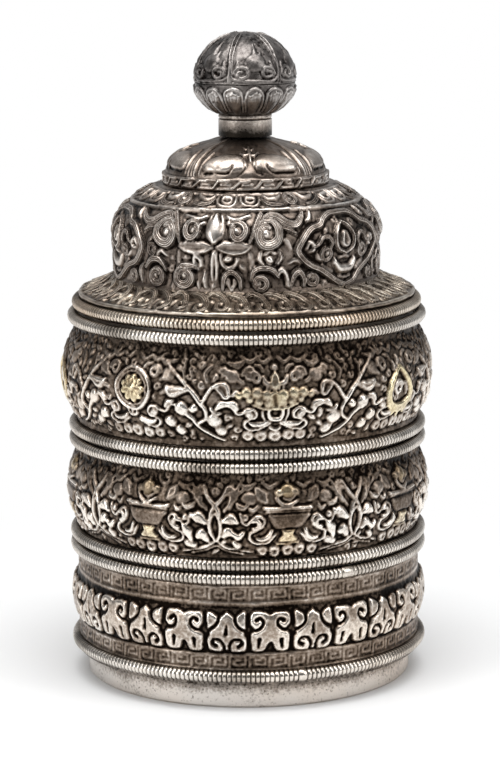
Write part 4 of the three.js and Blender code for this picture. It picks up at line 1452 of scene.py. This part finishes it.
# %% Lid: half of a cartouche
CARTOUCHE_STROKES = [
    ([(60.0, 20.3), (54.0, 20.0), (49.5, 18.9), (47.0, 17.7), (42.5, 16.8), (38.5, 14.8), (35.7, 11.9),
      (37.8, 9.3), (41.5, 7.0), (46.5, 5.9), (50.5, 4.1), (55.0, 2.0), (60.0, 1.0)], 0.85, 0.85, combed),
    ([(39.6, 11.8), (40.6, 13.2), (42.6, 12.9), (42.8, 11.3), (41.0, 10.9)],
     [0.3, 0.45, 0.5, 0.45, 0.3], 0.65),
    ([(42.8, 11.9), (45.6, 12.8), (47.4, 14.5), (50.4, 14.5), (52.0, 12.9), (51.0, 11.5)],
     [0.3, 0.5, 0.6, 0.7, 0.6, 0.4], 0.75, combed),
    ([(44.6, 9.9), (45.6, 8.8), (47.2, 8.3)], [0.3, 0.5, 0.3], 0.6),
    ([(47.4, 7.5), (50.0, 5.9), (52.6, 4.9)], [0.3, 0.5, 0.3], 0.6, veined),
    ([(60.0, 5.4), (57.0, 5.5), (54.4, 7.1), (54.0, 8.1)], [1.15, 1.1, 0.7, 0.3], 0.85),
    ([(60.0, 8.9), (57.4, 8.5)], [0.4, 0.25], 0.6),
    ([(56.4, 3.5), (60.0, 3.1)], [0.25, 0.35], 0.55),
    ([(60.0, 18.2), (57.0, 16.8), (54.6, 14.1), (55.6, 11.1), (60.0, 9.9)],
     [0.3, 0.55, 0.6, 0.6, 0.55], 0.85, combed),
]
FLAME_RISE = 13.6


def drum_third(band, middle):
    """A third of the drum: the bud and its spirals, and half of a cartouche on each side."""
    for side, lower in ((1, DRUM_RIGHT), (-1, DRUM_LEFT)):
        for table in (DRUM_STROKES, lower, CARTOUCHE_STROKES):
            band.chase(table, middle, side)
        for away, rise, radius, start, lean, turns, width, height in DRUM_SPIRALS:
            combed_curl(
                band, middle + side * away, rise, radius, start + side * lean, side * turns, width, height
            )
    for away, *shape in LOWER_SPIRALS:
        combed_curl(band, middle + away, *shape)
    band.stroke([(middle + 60, FLAME_RISE - 0.6), (middle + 60, FLAME_RISE + 1.0)], [1.6, 1.0], 0.8, hollowed)


# %% Lid: shoulder and flange
SHOULDER_UNITS = 6
SHOULDER_MIDDLE = -4.0
SHOULDER_SLOPE = 0.54
SHOULDER_STROKES = [
    ([(1.0, 25.0), (1.4, 23.7), (3.6, 22.9), (6.2, 22.8), (8.8, 22.9), (11.0, 23.7), (11.4, 25.0)],
     0.3, 0.55),
    ([(3.2, 24.9), (3.8, 23.9), (6.2, 23.5), (8.6, 23.9), (9.2, 24.9)], 0.3, 0.5),
    ([(4.6, 24.7), (7.8, 24.7)], 0.8, 0.6),
    ([(12.4, 24.5), (15.4, 23.3), (19.4, 22.8), (23.0, 22.9)], [0.3, 0.9, 1.0, 0.5], 0.6, combed),
    ([(13.6, 25.2), (17.4, 24.3), (21.6, 24.5), (24.6, 25.3)], [0.3, 0.7, 0.7, 0.3], 0.55, veined),
    ([(12.0, 22.9), (17.0, 22.2), (24.0, 22.2), (30.0, 22.4)], [0.2, 0.35, 0.35, 0.3], 0.45),
]
FLANGE_MOTIFS = 24
FLANGE_LIFT = 0.2
FLANGE_LEAVES = [
    ([(-8.4, -1.5), (-6.2, -0.2), (-3.2, -0.4), (-0.8, -1.2),
      (0.6, -2.6), (-0.8, -3.4), (-2.8, -3.1), (-3.2, -2.1)],
     [0.3, 0.9, 1.0, 0.85, 0.7, 0.6, 0.5, 0.4], 0.62, combed),
    ([(-0.6, -0.2), (2.2, -0.2), (5.2, -0.7), (7.4, -1.8),
      (8.2, -2.9), (6.6, -3.5), (4.6, -3.1), (4.4, -2.2)],
     [0.25, 0.7, 0.95, 0.85, 0.7, 0.6, 0.5, 0.4], 0.62, combed),
    ([(-5.2, -1.8), (-6.4, -2.7), (-6.2, -3.5)], [0.5, 0.6, 0.3], 0.4),
    ([(2.2, -1.8), (1.9, -2.8), (2.6, -3.6)], [0.5, 0.6, 0.3], 0.4),
]


def flange_motif(band, turn):
    """Two combed leaves that sweep over and curl in, each round a pearl."""
    band.chase(FLANGE_LEAVES, turn)
    for away in (-2.4, 5.2):
        band.stroke([(turn + away, -2.2), (turn + away + 0.3, -2.1)], 0.6, 0.4)


# %% Lid: the drum
LID_COLUMNS = 736
LID_BASE = 111.65
DRUM_MIDDLE = -13.4

lid_band = Band(drum_line(), LID_COLUMNS, SHOULDER_RADIUS, LID_BASE, weight=1.22, depth=1.05)
for third in range(3):
    drum_third(lid_band, DRUM_MIDDLE + third * 120)
rail(lid_band, 21.8, 0.42, 0.65)
rail(lid_band, 25.4, 0.3, 0.45)
for unit in range(SHOULDER_UNITS):
    middle = SHOULDER_MIDDLE + unit * 360 / SHOULDER_UNITS
    for side in (1, -1):
        lid_band.chase(SHOULDER_STROKES, middle, side)
    combed_curl(lid_band, middle + 29.0, 24.0, 2.5, 200, -1.3, 0.8, 0.7, SHOULDER_SLOPE)
for motif in range(FLANGE_MOTIFS):
    flange_motif(lid_band, -172.5 + motif * 360 / FLANGE_MOTIFS)
rail(lid_band, -3.9, 0.3, 0.45)
rail(lid_band, 0.3, 0.4, 0.35)
fill_ground(lid_band, 1.8, 20.3, 1.6, 14)
lid_band.gilding[lid_band.outside[:, 1] < DRUM_FOOT + 0.6] = 0.3
lid_band.height[lid_band.outside[:, 1] < DRUM_FOOT] += FLANGE_LIFT
set_down(lid_band, 0.9, 6)
hammer(lid_band, 0.04, 6, 14)

bend = int(np.argmin(np.abs(lid_band.outside[:, 1] - FLANGE_BEND_RISE)))
under = lining(lid_band, lid_band.rows - 1, bend, 10, SHEET)
seat = lid_band.outside[-1, 1]
before = [(0.0, seat - SHEET), *under]
chased_piece("lid_drum", lid_silver, lid_band, [(0.0, seat)], before, False)

# %% [markdown]
# The crown is a small drum with a key fret and a flattened dome in four panels. Hollow ribs part them,
# and each has two smooth lobes that face each other, with a sprig of small leaves over them. The crown was
# chased apart and soldered on, so it has its own sheet.

# %% Crown: its chasing
CROWN_MIDDLE = 3.5
CROWN_STROKES = [
    ([(33.0, 32.2), (27.0, 32.9), (19.0, 33.4), (12.0, 33.4), (7.6, 33.0)], [1.4, 3.0, 3.5, 3.2, 2.0], 0.75),
    ([(39.0, 30.3), (37.5, 32.9), (35.0, 35.8)], [0.3, 0.5, 0.3], 0.4),
    ([(0.0, 33.5), (0.0, 35.2), (0.0, 36.9)], [0.3, 0.6, 0.2], 0.65),
    ([(0.0, 35.2), (4.0, 34.9), (8.4, 35.7)], [0.4, 0.5, 0.2], 0.6),
    ([(0.0, 36.3), (3.0, 36.2), (5.6, 36.7)], [0.3, 0.35, 0.2], 0.5),
    ([(45.0, 29.5), (45.0, 32.8), (45.0, 35.9), (45.0, 38.3)], [1.5, 1.25, 0.9, 0.45], 0.6, hollowed),
    ([(45.0, 29.5), (45.0, 32.8), (45.0, 35.9), (45.0, 38.3)], [0.35, 0.3, 0.2, 0.15], 0.55),
]
CROWN_CUTS = [
    ([(12.6, 32.4), (14.4, 31.3), (19.0, 30.8), (26.0, 30.8), (34.0, 30.5)], [0.2, 0.3, 0.3, 0.2], 0.6),
    ([(9.4, 30.2), (4.6, 31.5), (4.4, 33.8), (8.0, 35.5)], 0.18, 0.3),
]
CROWN_FRET = [
    [(-0.3, 0.05), (0.45, 0.05), (0.75, 0.95), (1.2, 0.95)],
    [(-0.12, 0.5), (0.3, 0.5)],
    [(0.9, 0.5), (1.12, 0.5)],
]
print("strokes and cuts on each side of a crown panel:", len(CROWN_STROKES) + len(CROWN_CUTS))

# %% Crown: its outside line
CROWN_CELL = 0.3
CROWN_COLUMNS = 560
CROWN_RADIUS = 23.6
CROWN_SPREAD = 20.0
CROWN_FOOT = 137.67
CROWN_SINK = 0.9
CROWN_LEDGE = 140.77
CROWN_DOME = 9.8


def dome_line(radius, low, rise, from_radius, to_radius, fullness=1.0, number=40):
    """A quarter ellipse between two radii, drawn upwards. A fullness under 1 makes it squarer."""
    angles = np.linspace(math.acos(from_radius / radius), math.acos(max(to_radius, 0) / radius), number)
    return [(radius * math.cos(a) ** fullness, low + rise * math.sin(a)) for a in angles]


crown_ground = CROWN_RADIUS - CROWN_SINK
dome_radius = crown_ground - 0.5
crown_line = [(crown_ground, CROWN_FOOT), (crown_ground, CROWN_LEDGE), (dome_radius, CROWN_LEDGE + 0.02)]
crown_line += dome_line(dome_radius, CROWN_LEDGE, CROWN_DOME, dome_radius, 1.0, 1.15)[1:]
crown_band = Band(evenly(crown_line, CROWN_CELL), CROWN_COLUMNS, CROWN_SPREAD, LID_BASE)
print(f"the crown's sheet is {crown_band.way[-1]:.1f} mm from its foot to the collar")

# %% Crown: the piece
CROWN_PANELS = 4
CROWN_FRET_UNITS = 24
CROWN_FRET_FOOT = 26.6
CROWN_FRET_TALL = 2.1

pitch = 360 / CROWN_FRET_UNITS
for i in range(CROWN_FRET_UNITS):
    turn = -180 + i * pitch
    for zigzag in CROWN_FRET:
        points = [(turn + x * pitch, CROWN_FRET_FOOT + y * CROWN_FRET_TALL) for x, y in zigzag]
        crown_band.stroke(points, 0.34, 0.55, flat_topped, sharp=True)
for panel in range(CROWN_PANELS):
    middle = CROWN_MIDDLE + panel * 90
    for side in (1, -1):
        crown_band.chase(CROWN_STROKES, middle, side)
        for points, widths, depth in CROWN_CUTS:
            crown_band.stroke(at_turn(middle, points, side), widths, depth, cut=True)
rail(crown_band, 26.2, 0.2, 0.3)
rail(crown_band, 29.0, 0.25, 0.4)
set_down(crown_band, 0.6, 5)
hammer(crown_band, 0.04, 16, 15)
crown_top = crown_band.outside[-1, 1] + 0.01
crown_lining = lining(crown_band, crown_band.rows - 1, 0, 12, SHEET)
crown_lining[-1] = (crown_ground - SHEET, CROWN_FOOT)
before = [(0.0, crown_top - SHEET), *crown_lining]
chased_piece("lid_crown", lid_silver, crown_band, [(0.0, crown_top)], before, False)

# %% [markdown]
# The finial is two raised bowls, joined at its widest line, and smoked darker than the lid. The lower is
# a lotus of fourteen petals with beaded heads. The upper is a smooth dome in six panels, each with a
# puffed leaf between a pair of curls, and two ridges between the panels climb to the top.

# %% Silver of the finial
finial_silver = silver(
    "smoked finial silver",
    low=-0.3,
    high=0.7,
    stops=[
        (0.05, BLACK),
        (0.3, (0.155, 0.141, 0.134)),
        (0.6, (0.36, 0.338, 0.322)),
        (0.93, (0.88, 0.855, 0.83)),
    ],
    rough_ground=0.42,
    rough_worn=0.24,
    pits=0.09,
    mottle=0.3,
    stain=0.3,
    warmth=0.15,
    specks=0.15,
)

# %% Finial: the bowl's outside line
FINIAL_CELL = 0.22
FINIAL_COLUMNS = 400
FINIAL_RADIUS = 14.2
FINIAL_SINK = 0.3
FINIAL_SHEET = 0.8
BOWL_FOOT_RADIUS = 7.4
BOWL_SPREAD = 12.5
BOWL_FOOT = 156.92
BOWL_RIM = 165.42

bowl_round = (BOWL_RIM - BOWL_FOOT) / math.sqrt(1 - (BOWL_FOOT_RADIUS / FINIAL_RADIUS) ** 2)
bowl_line = []
upside_down = dome_line(FINIAL_RADIUS, BOWL_RIM, bowl_round, FINIAL_RADIUS, BOWL_FOOT_RADIUS)
for radius, height in reversed(upside_down):
    sink = FINIAL_SINK * (radius - BOWL_FOOT_RADIUS) / (FINIAL_RADIUS - BOWL_FOOT_RADIUS)
    bowl_line.append((radius - sink, 2 * BOWL_RIM - height))
bowl_band = Band(evenly(bowl_line, FINIAL_CELL), FINIAL_COLUMNS, BOWL_SPREAD, LID_BASE)
print(f"the bowl's sheet is {bowl_band.way[-1]:.1f} mm from its foot to its rim")

# %% Finial: the bowl
PETALS = 14
PETAL_MIDDLE = 11.8
PETAL_EDGE = [
    (10.2, 46.5), (11.0, 49.5), (8.6, 51.9), (0.0, 52.8), (-8.6, 51.9), (-11.0, 49.5), (-10.2, 46.5),
]

for i in range(PETALS):
    turn = PETAL_MIDDLE + (i - PETALS / 2) * 360 / PETALS
    bowl_band.stroke([(turn, 45.9), (turn, 48.5), (turn, 50.7)], [1.3, 2.1, 2.3], 0.5)
    bowl_band.stroke(at_turn(turn, PETAL_EDGE), 0.3, 0.62)
    for away in (-6.4, -3.2, 0.0, 3.2, 6.4):
        bowl_band.dot(turn + away, 51.7 - abs(away) * 0.09, 0.42, 0.85)
        bowl_band.stroke([(turn + away, 50.8), (turn + away * 0.9, 49.3)], [0.3, 0.2], 0.72)
set_down(bowl_band, 0.6, 5)
bowl_lining = lining(bowl_band, bowl_band.rows - 1, 0, 7, FINIAL_SHEET)
bowl_lining[0] = (FINIAL_RADIUS - FINIAL_SINK - FINIAL_SHEET, BOWL_RIM)
after = [*bowl_lining, (0.0, BOWL_FOOT + FINIAL_SHEET)]
chased_piece("finial_bowl", finial_silver, bowl_band, after, [(0.0, BOWL_FOOT)], False)

# %% Finial: the cap's chasing
CAP_MIDDLE = 12.0
CAP_LEAF = [
    (-9, 57.2), (-12.5, 59.8), (-8.5, 61.2), (-3, 61.9), (2, 65.3), (5, 62.2),
    (11, 62.9), (11, 60.2), (16, 58.9), (12, 57.0), (4, 57.8), (-4, 57.8),
]
CAP_STROKES = [
    ([(21.5, 56.3), (22.5, 57.9), (21.5, 59.9)], [0.5, 0.8, 0.3], 0.35),
    ([(28.6, 54.8), (28.4, 58.3), (27.4, 62.3), (23.0, 66.9)], 0.32, 0.5),
    ([(0.0, 54.8), (12.0, 54.9), (24.0, 55.2), (30.0, 56.8)], [0.3, 0.35, 0.3, 0.25], 0.45),
]


def cap_panel(band, middle):
    """A puffed leaf between two curls, with a dull spot beside it."""
    for side in (1, -1):
        band.chase(CAP_STROKES, middle, side)
        curl(band, middle + side * 15.5, 56.9, 1.9, 90 - side * 90, side * 1.25, 0.45, 0.6)
    plate(band, at_turn(middle, CAP_LEAF), 0.5, 1.8)
    band.dot(middle + 2.0, 59.7, 2.6, 0.65)
    tarnish(band, middle - 34.0, 59.3, 15.0, 8.0, 0.6)


# %% Finial: the cap
CAP_PANELS = 6
CAP_SPREAD = 12.0
CAP_FOOT = 165.57
CAP_DOME = 13.5

cap_radius = FINIAL_RADIUS - FINIAL_SINK
cap_line = dome_line(cap_radius, CAP_FOOT, CAP_DOME, cap_radius, 0.5, 0.94)
cap_band = Band(evenly(cap_line, FINIAL_CELL), FINIAL_COLUMNS, CAP_SPREAD, LID_BASE)
for panel in range(CAP_PANELS):
    cap_panel(cap_band, CAP_MIDDLE + panel * 60)
rail(cap_band, 54.2, 0.25, 0.3)
set_down(cap_band, 0.6, 5)
hammer(cap_band, 0.05, 14, 16)
cap_top = cap_band.outside[-1, 1] + 0.01
cap_lining = lining(cap_band, cap_band.rows - 1, 0, 9, FINIAL_SHEET)
cap_lining[-1] = (cap_radius - FINIAL_SHEET, CAP_FOOT)
before = [(0.0, cap_top - FINIAL_SHEET), *cap_lining]
chased_piece("finial_cap", finial_silver, cap_band, [(0.0, cap_top)], before, False)

# %% [markdown]
# The stage is a pale floor that turns to pure white away from the box, as in a studio picture. The white
# is only what the camera and the metal's reflections see: the floor itself stays a pale matt surface
# under the lamps, so it keeps the box's shadow and adds no light. The metal shows its surroundings, so
# the white floor lights the lower half of every swelling.

# %% Floor
SHADOW_REACH = 0.075
WHITE_FROM = 0.2
FLOOR_SIZE = 12.0
PALE = (0.85, 0.85, 0.85, 1)
WHITE = (1, 1, 1, 1)


def smooth_step(nodes, value, low, high, amount=1.0):
    """Rises from 0 to an amount while a value goes from low to high."""
    inputs = {"Value": value, "From Min": low, "From Max": high, "To Max": amount}
    return nodes.add("ShaderNodeMapRange", inputs, interpolation_type="SMOOTHSTEP").outputs["Result"]


def floor_material():
    """Pale matt under the box, and white further out in what the camera and the metal see."""
    material, nodes = new_material("pale floor")
    place = nodes.add("ShaderNodeTexCoord").outputs["Object"]
    distance = nodes.add("ShaderNodeVectorMath", {0: place}, operation="LENGTH").outputs["Value"]
    path = nodes.add("ShaderNodeLightPath").outputs
    seen = nodes.math("ADD", path["Is Camera Ray"], path["Is Glossy Ray"])
    seen = nodes.math("ADD", seen, path["Is Transmission Ray"], clamp=True)
    white = nodes.math("MULTIPLY", smooth_step(nodes, distance, SHADOW_REACH, WHITE_FROM), seen)
    matt = nodes.add("ShaderNodeBsdfDiffuse", {"Color": PALE}).outputs["BSDF"]
    glow = nodes.add("ShaderNodeEmission", {"Color": WHITE}).outputs["Emission"]
    mix = nodes.add("ShaderNodeMixShader", {"Fac": white, 1: matt, 2: glow}).outputs["Shader"]
    nodes.add("ShaderNodeOutputMaterial", {"Surface": mix})
    return material


floor_mesh = bpy.data.meshes.new("floor")
floor_build = bmesh.new()
bmesh.ops.create_grid(floor_build, x_segments=1, y_segments=1, size=FLOOR_SIZE / 2)
floor_build.to_mesh(floor_mesh)
floor_build.free()
floor = bpy.data.objects.new("floor", floor_mesh)
floor_mesh.materials.append(floor_material())
bpy.context.scene.collection.objects.link(floor)
print(f"a floor of {FLOOR_SIZE:.0f} by {FLOOR_SIZE:.0f} metres")

# %% [markdown]
# The studio round the box is dark at eye level on the viewer's side, white behind the box and pale
# overhead. Polished silver needs that: the dark part draws the line between the two bright ones on every
# ring, and gives the chasing its blacks. It is part of the world, so it is the same for every view.

# %% World
ROOM_DARK = 0.12
ROOM_OVERHEAD = 0.5
ROOM_BEHIND = 0.35
ROOM_COLOUR = (0.98, 0.99, 1.0, 1)

world = bpy.data.worlds.new("studio")
bpy.context.scene.world = world
world.use_nodes = True
room = Nodes(world.node_tree)
towards = room.add("ShaderNodeTexCoord").outputs["Generated"]
direction = room.add("ShaderNodeSeparateXYZ", {0: towards}).outputs
overhead = smooth_step(room, direction["Z"], 0.35, 0.9, ROOM_OVERHEAD)
behind = smooth_step(room, direction["Y"], 0.0, 0.9, ROOM_BEHIND)
level = room.math("ADD", room.math("ADD", overhead, behind), ROOM_DARK)
background = world.node_tree.nodes["Background"]
room.feed(background.inputs["Color"], ROOM_COLOUR)
room.feed(background.inputs["Strength"], level)
print(f"the room's light goes from {ROOM_DARK:.2f} to {ROOM_DARK + ROOM_OVERHEAD + ROOM_BEHIND:.2f}")

# %% [markdown]
# Three large soft lamps light the box: one overhead, in front of it, and a weaker one on each side. They
# are broad, so that their reflections run along the rings and swellings without a hard edge.


# %% Lamps
LAMP_TARGET = Vector((0, 0, 90 * MM))


def soft_lamp(name, place, width, depth, power):
    """A rectangular soft lamp, in metres and watts, aimed at the middle of the box."""
    light = bpy.data.lights.new(name, "AREA")
    light.shape = "RECTANGLE"
    light.size = width
    light.size_y = depth
    light.energy = power
    lamp = bpy.data.objects.new(name, light)
    aim = (LAMP_TARGET - Vector(place)).to_track_quat("-Z", "Y").to_matrix().to_4x4()
    lamp.matrix_world = Matrix.Translation(place) @ aim
    bpy.context.scene.collection.objects.link(lamp)
    print(f"{name}: {power} watts")


soft_lamp("lamp over the box", (0.0, -0.25, 1.1), 1.0, 0.8, 11)
soft_lamp("lamp on the left", (-1.0, -0.7, 0.5), 0.5, 0.9, 5)
soft_lamp("lamp on the right", (1.0, -0.5, 0.6), 0.5, 0.9, 4)

# %% [markdown]
# The camera stands where the photographer's did: a long lens, level with the top tray's rim and looking
# slightly down. Its place was worked out from the ellipses of the rings.

# %% Camera
CAMERA_DISTANCE = 829.6
CAMERA_RISE_DEGREES = 10.35
CAMERA_ROLL_DEGREES = -0.39
CAMERA_TARGET = (0.85, 0.0, 82.3)
SENSOR_WIDTH = 36
LONG_SIDE_PIXELS = 757
FOCAL_PIXELS = 2959
FARTHEST_METRES = 50

camera_data = bpy.data.cameras.new("camera")
camera_data.sensor_fit = "AUTO"
camera_data.sensor_width = SENSOR_WIDTH
camera_data.lens = FOCAL_PIXELS / LONG_SIDE_PIXELS * SENSOR_WIDTH
camera_data.clip_end = FARTHEST_METRES
camera = bpy.data.objects.new("camera", camera_data)
rise = math.radians(CAMERA_RISE_DEGREES)
target = Vector(CAMERA_TARGET) * MM
back = Vector((0, -math.cos(rise), math.sin(rise)))
tilt = Matrix.Rotation(math.radians(90) - rise, 4, "X")
roll = Matrix.Rotation(math.radians(CAMERA_ROLL_DEGREES), 4, "Z")
camera.matrix_world = Matrix.Translation(target + back * CAMERA_DISTANCE * MM) @ tilt @ roll
bpy.context.scene.collection.objects.link(camera)
bpy.context.scene.camera = camera
bpy.context.scene.view_settings.view_transform = "Standard"
print(f"camera: a lens of {camera_data.lens:.1f} mm, {CAMERA_DISTANCE:.0f} mm away")
